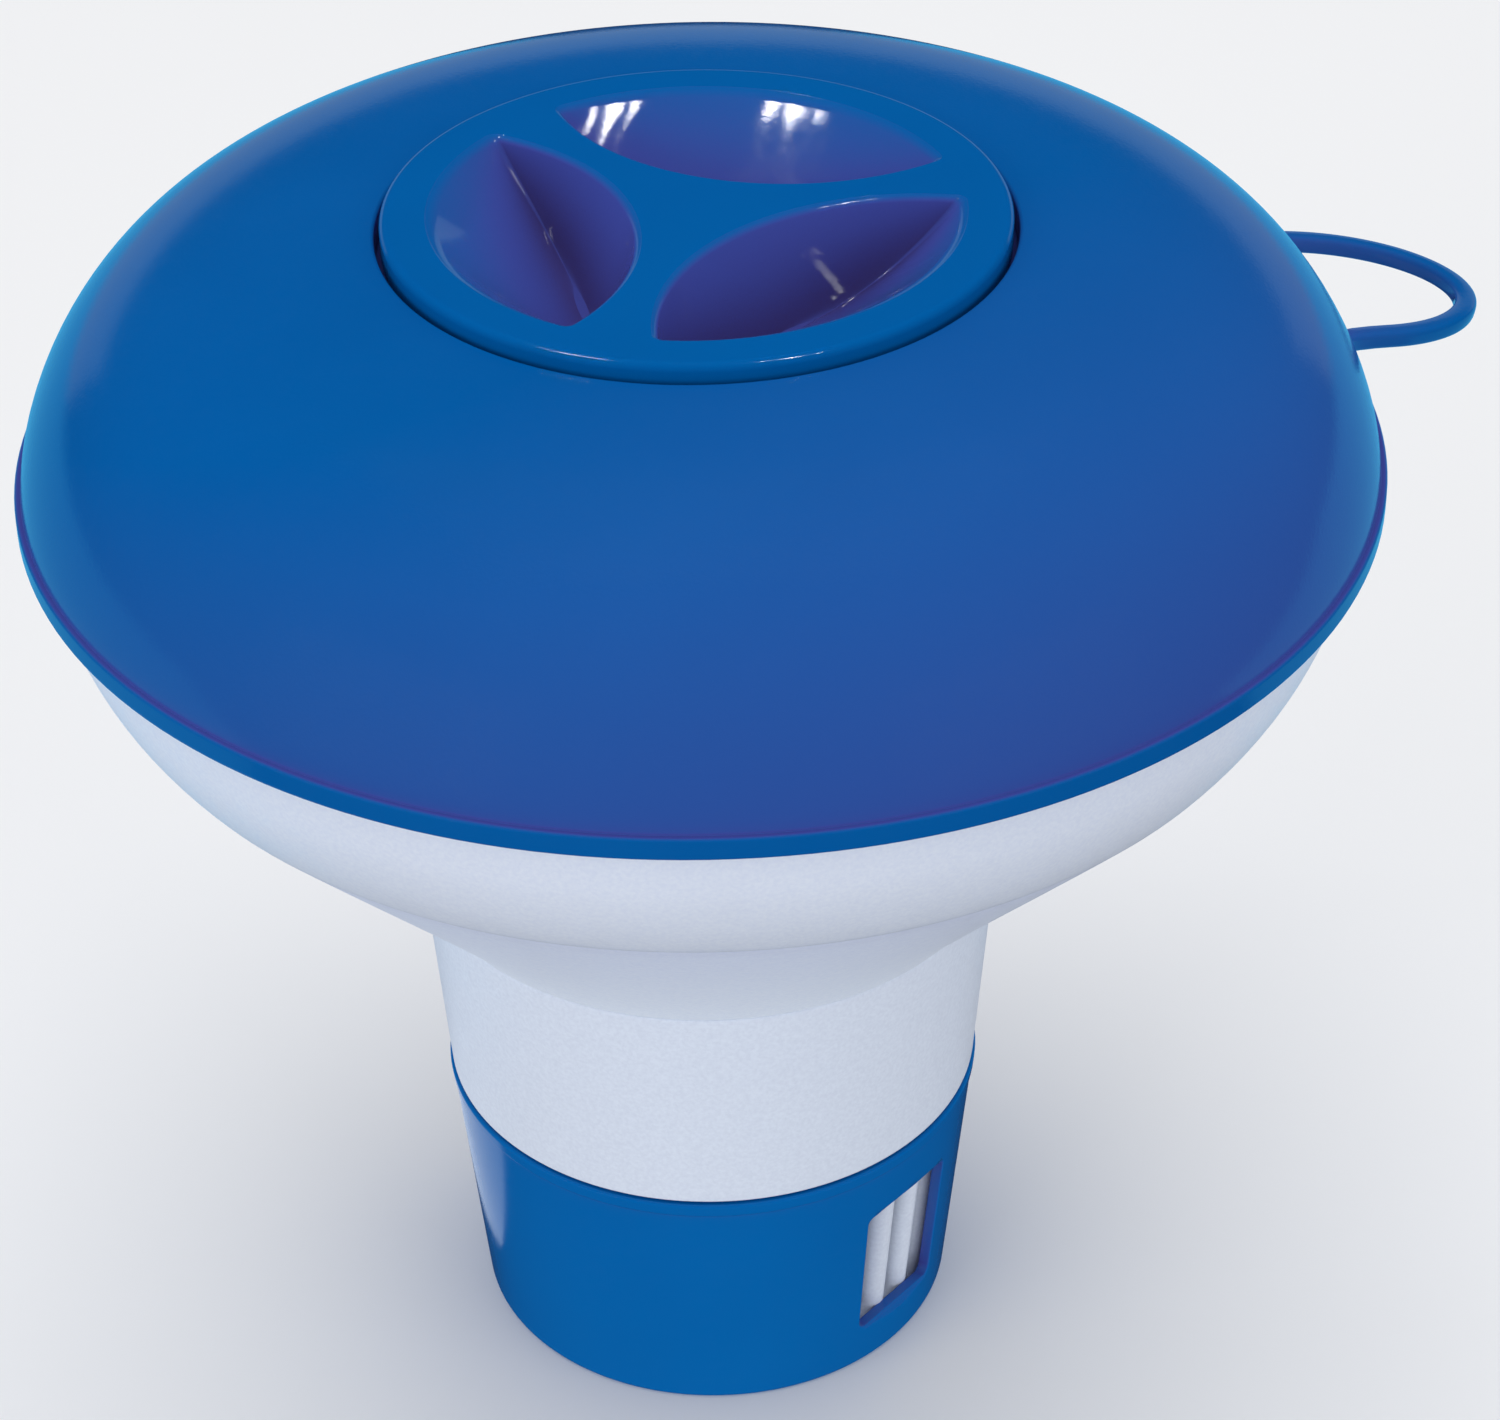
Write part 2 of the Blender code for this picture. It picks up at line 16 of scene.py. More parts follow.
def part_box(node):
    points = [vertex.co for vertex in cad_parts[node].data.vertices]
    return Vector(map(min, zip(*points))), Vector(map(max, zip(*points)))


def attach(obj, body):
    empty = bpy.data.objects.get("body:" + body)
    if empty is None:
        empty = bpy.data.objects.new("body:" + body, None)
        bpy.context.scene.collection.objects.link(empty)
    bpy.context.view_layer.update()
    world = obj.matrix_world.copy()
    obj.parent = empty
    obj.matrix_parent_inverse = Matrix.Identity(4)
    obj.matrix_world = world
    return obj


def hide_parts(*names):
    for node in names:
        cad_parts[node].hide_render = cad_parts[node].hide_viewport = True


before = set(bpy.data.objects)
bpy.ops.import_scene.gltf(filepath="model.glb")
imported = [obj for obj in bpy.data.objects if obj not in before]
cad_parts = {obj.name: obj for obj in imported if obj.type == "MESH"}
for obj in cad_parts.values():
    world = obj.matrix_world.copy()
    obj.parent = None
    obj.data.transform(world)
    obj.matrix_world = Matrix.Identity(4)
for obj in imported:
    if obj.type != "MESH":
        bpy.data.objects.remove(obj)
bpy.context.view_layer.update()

MM = 0.001
GAP = 0.3
TAU = math.tau
THIRDS = [i * TAU / 3 for i in range(3)]


def heights(node):
    """Lowest and highest point of a CAD node, in millimetres."""
    low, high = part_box(node)
    return low.z / MM, high.z / MM


BOWL_LOW, BOWL_HIGH = heights("bowl_shell")
TUBE_LOW, TUBE_TOP = heights("chamber_tube")
RING_TOP = heights("control_ring")[1]
CAP_TOP = heights("cap")[1]
SEAL_LOW, SEAL_HIGH = heights("cap_seal")

# Fineness of the meshes: facets round the axis, and the widest step along a rounding
ROUND = 192
SEAL_ROUND = 144
WALL_COLUMNS = 180
FINE_ARC = math.radians(14)
SHARP = math.radians(40)
WELD = 1e-6

# Float: the dome's and the bowl's outer curves fall from the rim as powers of the radius
FLOAT_RADIUS = 63.5
LIP_RISE = 3.0
RIM_Z = BOWL_HIGH - LIP_RISE
WALL = 1.8
FLANGE_TOP = RIM_Z + 2.2
CROWN_RADIUS = 62.9
CROWN_RISE = 22.7
CROWN_POWERS = (3, 1.36)
CROWN_STATIONS = 64
CROWN_INNER_STATIONS = 20
BOWL_RADIUS = 61.3
BOWL_DEPTH = 28.5
BOWL_POWERS = (2, 1.064)
BOWL_BOTTOM = 56.0
BOWL_STATIONS = 40
BOWL_INNER_STATIONS = 18
CREASE = 0.4
FLARE_POWER = 1.1
FLARE_STATIONS = 24
FLARE_WALL = (1.3, 1.25)
NECK_BORE_HEIGHT = 4.2
NECK_STEP = 0.3
LIP_RADIUS = 57.0
LIP_WALL = 1.6
LIP_ROOT = 3.5
LIP_CLEARANCE = 5.0
JOINT_RADIUS = 59.0
JOINT_ROOF = FLANGE_TOP - 0.5
SEAM_Z = BOWL_LOW - GAP
STEM_RADIUS_AT_RIM = 32.2
STEM_SLOPE = 0.0787

# Seat of the cap
SEAT_RADIUS = 29.1
LEDGE_TOP = SEAL_LOW - GAP
LEDGE_BOTTOM = LEDGE_TOP - 1.8
COLLAR_RADIUS = 29.6
COLLAR_BORE = 27.9
COLLAR_BOTTOM = 106.0
COLLAR_FILLET = 1.4
NOTCH_NEAR = 24.0
NOTCH_WIDTH = 9.4
STOP_RIB_SIDES = (math.radians(13), math.radians(-73))
STOP_RIB_SPAN = (26.5, 28.6)
STOP_RIB_WIDTH = 2.4
STOP_RIB_BOTTOM = 113.7

# Tube. A band of its wall holds the slots: its outer and inner side's low ends, and its top
TUBE_RADIUS = 27.6
TUBE_BORE = 26.0
SHOULDER_Z = RING_TOP + GAP
SHOULDER_FUNNEL = (1.1, 0.5, 1.5)
SEAT_WALL = 1.6
SLOT_BAND = ((2.6, 3.8), 23.8)
SLOT_ROWS = 28
SLOT_WIDTH = 1.4
SLOT_LOW = 4.6
SLOT_HIGH = 21.9
SLOTS = 5
SLOT_PITCH = math.radians(10.4)
SLOT_TURN = math.radians(2.1)
RIB_ROUND = 1.45
SLOT_INNER_EDGE = 0.12
WALL_SEAM = -math.pi / 2
HOLE_MARGIN = 0.35
HOLE_EDGE_STEPS = (6, 4)

# Control ring. A band of its wall holds the windows
RING_FLOOR = 1.6
RING_WALL = 1.2
RING_TOP_RADIUS = 26.9
LIP_PROUD = 0.15
LIP_HEIGHT = 1.3
RING_BASE_RADIUS = 24.1
WINDOW_BAND = ((3.0, 3.0), 23.6)
WINDOW_ROWS = 26
WINDOW_EDGES = (0.22, 0.15)
WINDOW_LOW = 5.2
WINDOW_HIGH = 21.1
WINDOW_WIDTH = 11.9
WINDOW_CORNER = 0.8
WINDOW_TURN = math.radians(-40.75)
BEAD_Z = 25.4
BEAD_RADIUS = 24.9
BEAD_FOOT = 1.2
GROOVE_RADIUS = 24.5
GROOVE_FLAT = 0.7
GROOVE_FEET = (1.4, 1.7)
BASE_EDGE = 0.7
STOP_WIDTH = 3.0
STOP_ANGLE = math.radians(90)
STOP_MARGIN = math.radians(4.6)
STOP_REACH = 26.1
STOP_RECESS = 24.3
STOP_LOW = 27.3

# Cap
CAP_RADIUS = 28.6
CAP_UNDERSIDE = SEAL_HIGH + GAP
CAP_PLATE = 1.8
CAP_EDGE = 0.75
SKIRT_RADIUS = 25.6
SKIRT_WALL = 1.6
SKIRT_BOTTOM = 111.0
CAP_TURN = math.radians(71.8)
POCKET_OUTER = 24.0
POCKET_INNER = 22.9
POCKET_CENTRE = 28.9
POCKET_DEPTH = 9.0
POCKET_WALL = 1.5
POCKET_RIM = 0.6
POCKET_CORNER = 0.7
RIM_FLARE = (1.7, 0.5)
RIM_STEPS = 8
KEEL_X = 10.5
KEEL_WIDTH = 0.05
KEEL_FLAT = 0.99
KEEL_CURVE = (1.1, 1 / 3)
KEEL_CLOSING = 1.06
KEEL_STEPS = 24
POD_START = 1.0
LUG_LOW = 114.2
LUG_HIGH = 116.6
LUG_ROOT = 24.8
LUG_REACH = 27.2
LUG_WIDTH = 8.0

# Seal
SEAL_OUTER = 28.3
SEAL_INNER = 26.2
SEAL_EDGE = 0.38

# Tether loop. Each point of a leg is (distance from the axis, distance aside)
LOOP_TURN = math.radians(26)
LOOP_LEGS = [(61.8, 12.2), (63.6, 11.6), (65.6, 11.25), (67.8, 11.05)]
LOOP_CENTRE = 69.9
LOOP_REACH = 15.0
LOOP_HALF_WIDTH = 11.0
LOOP_STATIONS = 72
LOOP_FACETS = 28
LOOP_WIDE = 1.12
LOOP_HIGH = 0.95
LOOP_SQUARENESS = 0.62
LOOP_DROOP = math.radians(12)
WEB_ROOT = 1.5
WEB_LEG = 12.2
WEB_LENGTH = 5.5
WEB_LAYERS = ((0.35, -0.75), (0, -0.45), (0, 0.45), (0.35, 0.75))

# Colours, as pairs that noise mixes. The float's blue turns to a painted violet shade by place and
# slope, above its flange only, and every blue turns to a painted dark shade in deep hollows
# Painted shade on the dome's lower front right: weights of place and slope, their range, and where
# it fades in
SIDE_SHADE_PLACE = (5.7, -7.6, 0)
SIDE_SHADE_SLOPE = (0, 0, -0.635)
SIDE_SHADE_RANGE = (-0.52, 0.48)
SIDE_SHADE_HEIGHTS = (FLANGE_TOP - 0.2, FLANGE_TOP + 0.6)
# Painted shade in hollows: occlusion reach and samples, the range it spans, and its dark tones from
# deepest
HOLLOW_REACH = 22
HOLLOW_SAMPLES = 8
HOLLOW_SHADE_RANGE = (0.76, 0.93)
HOLLOW_SHADE_TONES = [(0.3, (0.06, 0.034, 0.14)), (0.62, (0.054, 0.076, 0.36))]
SHELL_TONES = ((0.0, 0.094, 0.34), (0.001, 0.101, 0.358))
# Violet of the painted side shade
SIDE_SHADE_TONE = (0.028, 0.077, 0.335)
CAP_TONES = ((0.0, 0.098, 0.342), (0.0, 0.104, 0.358))
RING_TONES = ((0.0, 0.122, 0.417), (0.0, 0.13, 0.437))
TUBE_TONES = ((0.67, 0.73, 0.865), (0.73, 0.795, 0.925))
BOWL_TONES = ((0.85, 0.92, 0.97), (0.92, 0.985, 1.0))
SEAL_TONES = ((0.016, 0.016, 0.02), (0.03, 0.03, 0.036))
# Finish of each blue: its lowest and highest roughness, and its grain's and its ripple's height
SHELL_FINISH = (0.1, 0.16, 0.016, 0.03)
CAP_FINISH = (0.05, 0.09, 0.003, 0.03)
RING_FINISH = (0.13, 0.19, 0.006, 0.04)
BLUE_SHINE = 0.16
WHITE_SHINE = 0.4
FLOOR_TONES = ((0.86, 0.86, 0.87), (0.88, 0.88, 0.89))
FLOOR_SIZE = 6
# Painted shade of the bowl: at its foot, and by height above its belly's end as a part of its side
PAINTED_BOWL_FOOT_SHADE = (0.87, 0.89, 1)
PAINTED_BOWL_SHADES = [
    (-0.06, (0.79, 0.81, 0.97)),
    (-0.01, (0.74, 0.755, 0.92)),
    (0, (0.68, 0.7, 0.83)),
    (0.02, (0.73, 0.74, 0.85)),
    (0.22, (0.81, 0.815, 0.93)),
]

# Camera: fitted to the photograph, with its distances in float radii from the rim's centre
CAMERA_ANGLES = (math.radians(34.58), math.radians(0.73), math.radians(-0.72))
CAMERA_PLACE = (0, -5.2491, 3.1635)
CAMERA_LENS = 99.635
CAMERA_SENSOR = 36

# Lights: (name, azimuth, elevation, distance, size, power). Azimuth 0 is the camera's side
LIGHT_TARGET = Vector((0, 0, 90)) * MM
SOFTBOXES = [
    ("key_top", 180, 78, 1.2, (1.0, 1.0), 6.2),
    ("front_left", -50, 7, 1.2, (0.9, 0.9), 5.7),
    ("front_right", 50, 7, 1.2, (0.9, 0.9), 4.0),
]
# Small bright softboxes that only the cap mirrors: (azimuth, elevation, size)
GLINTS = [
    (-76, 71, (0.03, 0.08)), (-84, 66, (0.05, 0.12)), (-91, 62, (0.02, 0.05)),
    (37, 66, (0.03, 0.06)), (46, 60, (0.06, 0.12)), (55, 55, (0.03, 0.05)),
]
GLINT_DISTANCE = 1.0
GLINT_BRIGHTNESS = 420
# Cards that reflections alone see: (name, strength, colour, corners). Most lie under the float
CARD_LOW = -0.5
SHEET_BLUE = (0.1, 0.6, 1.0)
CARDS = [
    ("card_left", 0.9, SHEET_BLUE, [
        (-75, -42, CARD_LOW), (-303, -106, CARD_LOW), (-700, -87, CARD_LOW),
        (-900, 134, CARD_LOW), (-900, 900, CARD_LOW), (-60, 900, CARD_LOW), (-60, 90, CARD_LOW),
    ]),
    ("card_right", 0.9, SHEET_BLUE, [
        (60, 40, CARD_LOW), (300, -60, CARD_LOW), (314, -55, CARD_LOW), (591, 168, CARD_LOW),
        (900, 400, CARD_LOW), (900, 900, CARD_LOW), (60, 900, CARD_LOW),
    ]),
    ("card_ring", 1.0, (0.75, 0.85, 1.0), [
        (-70, -4, CARD_LOW), (-29, -4, CARD_LOW), (-29, 30, CARD_LOW), (-70, 30, CARD_LOW),
    ]),
    ("card_back", 0.5, (0.6, 0.8, 1.0), [
        (-900, 900, CARD_LOW), (900, 900, CARD_LOW), (900, 900, 300), (-900, 900, 300),
    ]),
]
# Sky: (colour, strength) of the fill light, and of what reflections see
SKY_FILL = ((0.97, 0.985, 1), 0.64)
SKY_SEEN = ((0.35, 0.33, 0.5), 0.05)


# ---------------------------------------------------------------- mesh helpers


def link(name, bm):
    bmesh.ops.recalc_face_normals(bm, faces=bm.faces[:])
    mesh = bpy.data.meshes.new(name)
    bm.to_mesh(mesh)
    bm.free()
    obj = bpy.data.objects.new(name, mesh)
    bpy.context.scene.collection.objects.link(obj)
    return obj


def rounded_line(corners, closed):
    """Points of a (radius, height) line whose (radius, height, fillet) corners are rounded."""
    points = []
    count = len(corners)
    for i, (x, y, fillet) in enumerate(corners):
        if not fillet or (not closed and i in (0, count - 1)):
            points.append((x, y))
            continue
        here = Vector((x, y))
        before = Vector(corners[i - 1][:2]) - here
        after = Vector(corners[(i + 1) % count][:2]) - here
        half = before.angle(after) / 2
        reach = fillet / math.tan(half)
        limit = 0.49 * min(before.length, after.length)
        if reach > limit:
            reach = limit
            fillet = reach * math.tan(half)
        start = before.normalized() * reach
        end = after.normalized() * reach
        centre = (before.normalized() + after.normalized()).normalized() * (fillet / math.sin(half))
        sweep = math.pi - 2 * half
        steps = max(2, math.ceil(sweep / FINE_ARC))
        spin = (start - centre).angle_signed(end - centre)
        for k in range(steps + 1):
            arm = (start - centre).copy()
            arm.rotate(Matrix.Rotation(-spin * k / steps, 2))
            points.append(tuple(here + centre + arm))
    return points


def sweep(bm, line, steps, closed=False):
    """Turns a line of (radius, height) points round the axis, and returns its columns of points."""
    columns = []
    for i in range(steps):
        angle = TAU * i / steps
        c, s = math.cos(angle), math.sin(angle)
        columns.append([bm.verts.new((r * c * MM, r * s * MM, z * MM)) for r, z in line])
    rows = len(line)
    for i in range(steps):
        a, b = columns[i], columns[(i + 1) % steps]
        for k in range(rows if closed else rows - 1):
            n = (k + 1) % rows
            bm.faces.new((a[k], a[n], b[n], b[k]))
    return columns


def turned(name, corners, closed=True, steps=ROUND):
    """A solid of revolution. An open line gets a flat face at each end."""
    bm = bmesh.new()
    columns = sweep(bm, rounded_line(corners, closed), steps, closed)
    if not closed:
        bm.faces.new([column[0] for column in columns])
        bm.faces.new([column[-1] for column in columns])
    return link(name, bm)


def loft(name, rings):
    """A solid of closed rings of points, in millimetres, each joined to the next."""
    bm = bmesh.new()
    made = [[bm.verts.new(Vector(p) * MM) for p in ring] for ring in rings]
    for low, high in zip(made, made[1:]):
        for k in range(len(low)):
            n = (k + 1) % len(low)
            bm.faces.new((low[k], low[n], high[n], high[k]))
    bm.faces.new(made[0])
    bm.faces.new(made[-1])
    return link(name, bm)


def arc(centre, radius, start, end, count):
    """Points of an arc from one angle to another."""
    x, y = centre
    step = (end - start) / count
    angles = [start + step * i for i in range(count + 1)]
    return [(x + radius * math.cos(a), y + radius * math.sin(a)) for a in angles]


def soft_block(angle, near, far, width, low, high, edge):
    """A box with rounded edges, placed by its angle and radii round the axis."""
    bm = bmesh.new()
    size = Matrix.Diagonal(((far - near) * MM, width * MM, (high - low) * MM, 1))
    middle = Matrix.Translation(((near + far) / 2 * MM, 0, (low + high) / 2 * MM))
    bmesh.ops.create_cube(bm, size=1, matrix=Matrix.Rotation(angle, 4, "Z") @ middle @ size)
    if edge:
        bmesh.ops.bevel(
            bm, geom=bm.edges[:], offset=edge * MM, segments=3, profile=0.5, affect="EDGES"
        )
    return link("block", bm)


def combine(base, operation, others):
    """Applies one Boolean after another, and removes the other solids."""
    for other in others:
        modifier = base.modifiers.new(other.name, "BOOLEAN")
        modifier.operation = operation
        modifier.solver = "EXACT"
        modifier.object = other
    graph = bpy.context.evaluated_depsgraph_get()
    mesh = bpy.data.meshes.new_from_object(base.evaluated_get(graph))
    base.modifiers.clear()
    old = base.data
    base.data = mesh
    bpy.data.meshes.remove(old)
    for other in others:
        bpy.data.objects.remove(other, do_unlink=True)
    return base


def finish_piece(obj, body, nodes, material):
    mesh = obj.data
    mesh.materials.clear()
    mesh.materials.append(material)
    mesh.shade_smooth()
    mesh.set_sharp_from_angle(angle=SHARP)
    weighted = obj.modifiers.new("weighted_normals", "WEIGHTED_NORMAL")
    weighted.keep_sharp = True
    weighted.weight = 50
    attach(obj, body)
    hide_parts(*nodes)
    return obj


# ---------------------------------------------------------------- materials


def new_material(name):
    material = bpy.data.materials.new(name)
    material.use_nodes = True
    tree = material.node_tree
    return material, tree, tree.nodes["Principled BSDF"]


def noise(tree, scale, detail, roughness=0.5):
    coords = tree.nodes.new("ShaderNodeTexCoord")
    node = tree.nodes.new("ShaderNodeTexNoise")
    node.inputs["Scale"].default_value = scale
    node.inputs["Detail"].default_value = detail
    node.inputs["Roughness"].default_value = roughness
    tree.links.new(coords.outputs["Object"], node.inputs["Vector"])
    return node.outputs["Fac"]


def spread(tree, value, low, high, from_low=0.3, from_high=0.7):
    node = tree.nodes.new("ShaderNodeMapRange")
    node.inputs["From Min"].default_value = from_low
    node.inputs["From Max"].default_value = from_high
    node.inputs["To Min"].default_value = low
    node.inputs["To Max"].default_value = high
    tree.links.new(value, node.inputs["Value"])
    return node.outputs["Result"]


def blend_colours(tree, factor, first, second):
    node = tree.nodes.new("ShaderNodeMix")
    node.data_type = "RGBA"
    tree.links.new(factor, node.inputs["Factor"])
    for socket, value in ((node.inputs[6], first), (node.inputs[7], second)):
        if isinstance(value, tuple):
            socket.default_value = (*value, 1)
        else:
            tree.links.new(value, socket)
    return node.outputs[2]


def multiply(tree, first, second):
    node = tree.nodes.new("ShaderNodeMix")
    node.data_type = "RGBA"
    node.blend_type = "MULTIPLY"
    node.inputs["Factor"].default_value = 1
    tree.links.new(first, node.inputs[6])
    tree.links.new(second, node.inputs[7])
    return node.outputs[2]


def bump(tree, shader, layers):
    """Stacks bump layers of (height, distance in millimetres)."""
    normal = None
    for height, distance in layers:
        node = tree.nodes.new("ShaderNodeBump")
        node.inputs["Strength"].default_value = 1.0
        node.inputs["Distance"].default_value = distance * MM
        tree.links.new(height, node.inputs["Height"])
        if normal:
            tree.links.new(normal, node.inputs["Normal"])
        normal = node.outputs["Normal"]
    tree.links.new(normal, shader.inputs["Normal"])


def hollow_shade(tree, distance):
    """0 in deep hollows of the piece itself, 1 in the open."""
    node = tree.nodes.new("ShaderNodeAmbientOcclusion")
    node.samples = HOLLOW_SAMPLES
    node.only_local = True
    node.inputs["Distance"].default_value = distance * MM
    return node.outputs["AO"]


def height_above_floor(tree):
    coords = tree.nodes.new("ShaderNodeTexCoord")
    return dot(tree, coords.outputs["Object"], (0, 0, 1 / MM))


def dot(tree, vector, along):
    node = tree.nodes.new("ShaderNodeVectorMath")
    node.operation = "DOT_PRODUCT"
    node.inputs[1].default_value = along
    tree.links.new(vector, node.inputs[0])
    return node.outputs["Value"]


def ramp(tree, value, stops):
    """Colours at rising positions."""
    node = tree.nodes.new("ShaderNodeValToRGB")
    elements = node.color_ramp.elements
    while len(elements) < len(stops):
        elements.new(0.5)
    for element, (position, colour) in zip(elements, stops):
        element.position = position
        element.color = (*colour, 1)
    tree.links.new(value, node.inputs["Fac"])
    return node.outputs["Color"]


def painted_side_shade(tree):
    """Painted shade: 0 on the flange, the top and the dome's back left, 1 low down at its front
    right.
    """
    coords = tree.nodes.new("ShaderNodeTexCoord")
    place = dot(tree, coords.outputs["Object"], SIDE_SHADE_PLACE)
    slope = dot(tree, coords.outputs["Normal"], SIDE_SHADE_SLOPE)
    total = tree.nodes.new("ShaderNodeMath")
    total.operation = "ADD"
    tree.links.new(place, total.inputs[0])
    tree.links.new(slope, total.inputs[1])
    side = spread(tree, total.outputs["Value"], 0, 1, *SIDE_SHADE_RANGE)
    above = spread(tree, height_above_floor(tree), 0, 1, *SIDE_SHADE_HEIGHTS)
    return multiply(tree, side, above)


def blue_plastic(name, tones, finish, side_shaded=False):
    """Glossy blue plastic. Hollows get a painted violet shade, and so, when asked, does the piece's
    lower front right.
    """
    material, tree, shader = new_material(name)
    rough_low, rough_high, grain, ripple = finish
    tone = blend_colours(tree, spread(tree, noise(tree, 38, 3), 0, 1), *tones)
    # Painted shade: the dome's lower front right goes violet, as if less lit
    if side_shaded:
        tone = blend_colours(tree, painted_side_shade(tree), tone, SIDE_SHADE_TONE)
    # Painted shade: the piece's own deep hollows go dark violet
    depth = hollow_shade(tree, HOLLOW_REACH)
    painted_hollow_shade = ramp(tree, depth, HOLLOW_SHADE_TONES)
    colour = blend_colours(tree, spread(tree, depth, 0, 1, *HOLLOW_SHADE_RANGE), painted_hollow_shade, tone)
    tree.links.new(colour, shader.inputs["Base Color"])
    tree.links.new(
        spread(tree, noise(tree, 900, 4, 0.6), rough_low, rough_high), shader.inputs["Roughness"]
    )
    bump(tree, shader, [(noise(tree, 2600, 3), grain), (noise(tree, 60, 2), ripple)])
    shader.inputs["Specular IOR Level"].default_value = BLUE_SHINE
    return material


def white_plastic(name, with_painted_shade=False):
    """Satin white plastic. With painted shade, the piece is darker round the end of its belly."""
    material, tree, shader = new_material(name)
    tone = blend_colours(
        tree, spread(tree, noise(tree, 2400, 2), 0, 1), *(BOWL_TONES if with_painted_shade else TUBE_TONES)
    )
    if with_painted_shade:
        # Painted shade, darkest at the end of the belly and lighter toward the foot and the rim
        height = spread(tree, height_above_floor(tree), 0, 1, SEAM_Z, RIM_Z)
        belly_end = (belly_height(BOWL_BOTTOM) - SEAM_Z) / (RIM_Z - SEAM_Z)
        painted_shades = [(belly_end + above, shade) for above, shade in PAINTED_BOWL_SHADES]
        tone = multiply(tree, tone, ramp(tree, height, [(0, PAINTED_BOWL_FOOT_SHADE), *painted_shades]))
    tree.links.new(tone, shader.inputs["Base Color"])
    tree.links.new(spread(tree, noise(tree, 700, 4), 0.42, 0.56), shader.inputs["Roughness"])
    bump(tree, shader, [(noise(tree, 3000, 3), 0.02), (noise(tree, 45, 2), 0.12)])
    shader.inputs["Specular IOR Level"].default_value = WHITE_SHINE
    return material


def seal_rubber(name):
    material, tree, shader = new_material(name)
    tone = blend_colours(tree, spread(tree, noise(tree, 800, 4), 0, 1), *SEAL_TONES)
    tree.links.new(tone, shader.inputs["Base Color"])
    tree.links.new(spread(tree, noise(tree, 500, 4), 0.5, 0.7), shader.inputs["Roughness"])
    bump(tree, shader, [(noise(tree, 2500, 3), 0.02)])
    return material


# ---------------------------------------------------------------- dome


def crown(radius, rise, inner, stations):
    """The dome's curve from inner out to the flange."""
    power, fall = CROWN_POWERS
    start = math.asin((inner / radius) ** power)
    line = []
    for i in range(stations + 1):
        angle = start + (math.pi / 2 - start) * i / stations
        side = max(math.cos(angle), 0)
        line.append((radius * math.sin(angle) ** (1 / power), FLANGE_TOP + rise * side**fall, 0))
    return line


def dome_line():
    outside = crown(CROWN_RADIUS, CROWN_RISE, SEAT_RADIUS, CROWN_STATIONS)
    outside[0] = (*outside[0][:2], 0.35)
    outside[-1] = (*outside[-1][:2], 0.12)
    flange = [
        (FLOAT_RADIUS, FLANGE_TOP, 0.42),
        (FLOAT_RADIUS, RIM_Z, 0.4),
        (JOINT_RADIUS, RIM_Z, 0.3),
        (JOINT_RADIUS, JOINT_ROOF, 0.3),
    ]
    bore = COLLAR_RADIUS + COLLAR_FILLET
    inside = crown(CROWN_RADIUS - WALL, CROWN_RISE - WALL, bore, CROWN_INNER_STATIONS)[-2::-1]
    seat = [
        (COLLAR_RADIUS, LEDGE_BOTTOM - COLLAR_FILLET, 0),
        (COLLAR_RADIUS, COLLAR_BOTTOM, 0.3),
        (COLLAR_BORE, COLLAR_BOTTOM, 0.3),
        (COLLAR_BORE, LEDGE_BOTTOM, 0.2),
        (TUBE_BORE, LEDGE_BOTTOM, 0.3),
        (TUBE_BORE, LEDGE_TOP, 0.3),
        (SEAT_RADIUS, LEDGE_TOP, 0.3),
    ]
    return outside + flange + inside + seat


def droop(out):
    """Height of the tether loop's centre line at a distance from the axis."""
    return (RIM_Z + FLANGE_TOP) / 2 - max(out - FLOAT_RADIUS, 0) * math.tan(LOOP_DROOP)


def loop_path():
    """Centre line of the tether loop, from inside the flange, round the bow and back in."""
    bow = []
    for i in range(LOOP_STATIONS + 1):
        angle = math.pi / 2 - math.pi * i / LOOP_STATIONS
        bow.append((LOOP_CENTRE + LOOP_REACH * math.cos(angle), LOOP_HALF_WIDTH * math.sin(angle)))
    plan = LOOP_LEGS + bow + [(out, -side) for out, side in reversed(LOOP_LEGS)]
    return [Vector((out, side, droop(out))) for out, side in plan]


def make_loop():
    path = loop_path()
    rings = []
    up = Vector((math.sin(LOOP_DROOP), 0, math.cos(LOOP_DROOP)))
    for i, point in enumerate(path):
        ahead = path[min(i + 1, len(path) - 1)] - path[max(i - 1, 0)]
        side = ahead.cross(up).normalized()
        lift = side.cross(ahead).normalized()
        ring = []
        for k in range(LOOP_FACETS):
            angle = TAU * k / LOOP_FACETS
            c, s = math.cos(angle), math.sin(angle)
            across = LOOP_WIDE * math.copysign(abs(c) ** LOOP_SQUARENESS, c)
            tall = LOOP_HIGH * math.copysign(abs(s) ** LOOP_SQUARENESS, s)
            ring.append(point + side * across + lift * tall)
        rings.append(ring)
    loop = loft("loop_rod", rings)
    loop.data.transform(Matrix.Rotation(LOOP_TURN, 4, "Z"))
    return loop


def make_web(side):
    """The flat web between one leg of the loop and the flange's edge."""
    out = FLOAT_RADIUS
    leg = math.asin(WEB_LEG / out)
    far = leg + WEB_LENGTH / out
    outline = [
        (out - WEB_ROOT, 11.5),
        (out + 3.0, 11.6),
        (out + 0.3, 13.0),
        (out * math.cos(leg + 0.045) + 0.3, out * math.sin(leg + 0.045) + 0.1),
        (out * math.cos(far), out * math.sin(far)),
        ((out - WEB_ROOT) * math.cos(far), (out - WEB_ROOT) * math.sin(far)),
    ]
    rings = []
    for shrink, height in WEB_LAYERS:
        ring = []
        for x, y in outline:
            shift = shrink if x > out - 1 else 0
            ring.append((x - shift * 0.6, (y - shift * 0.5) * side, droop(x) + height))
        rings.append(ring)
    web = loft("web", rings)
    web.data.transform(Matrix.Rotation(LOOP_TURN, 4, "Z"))
    return web


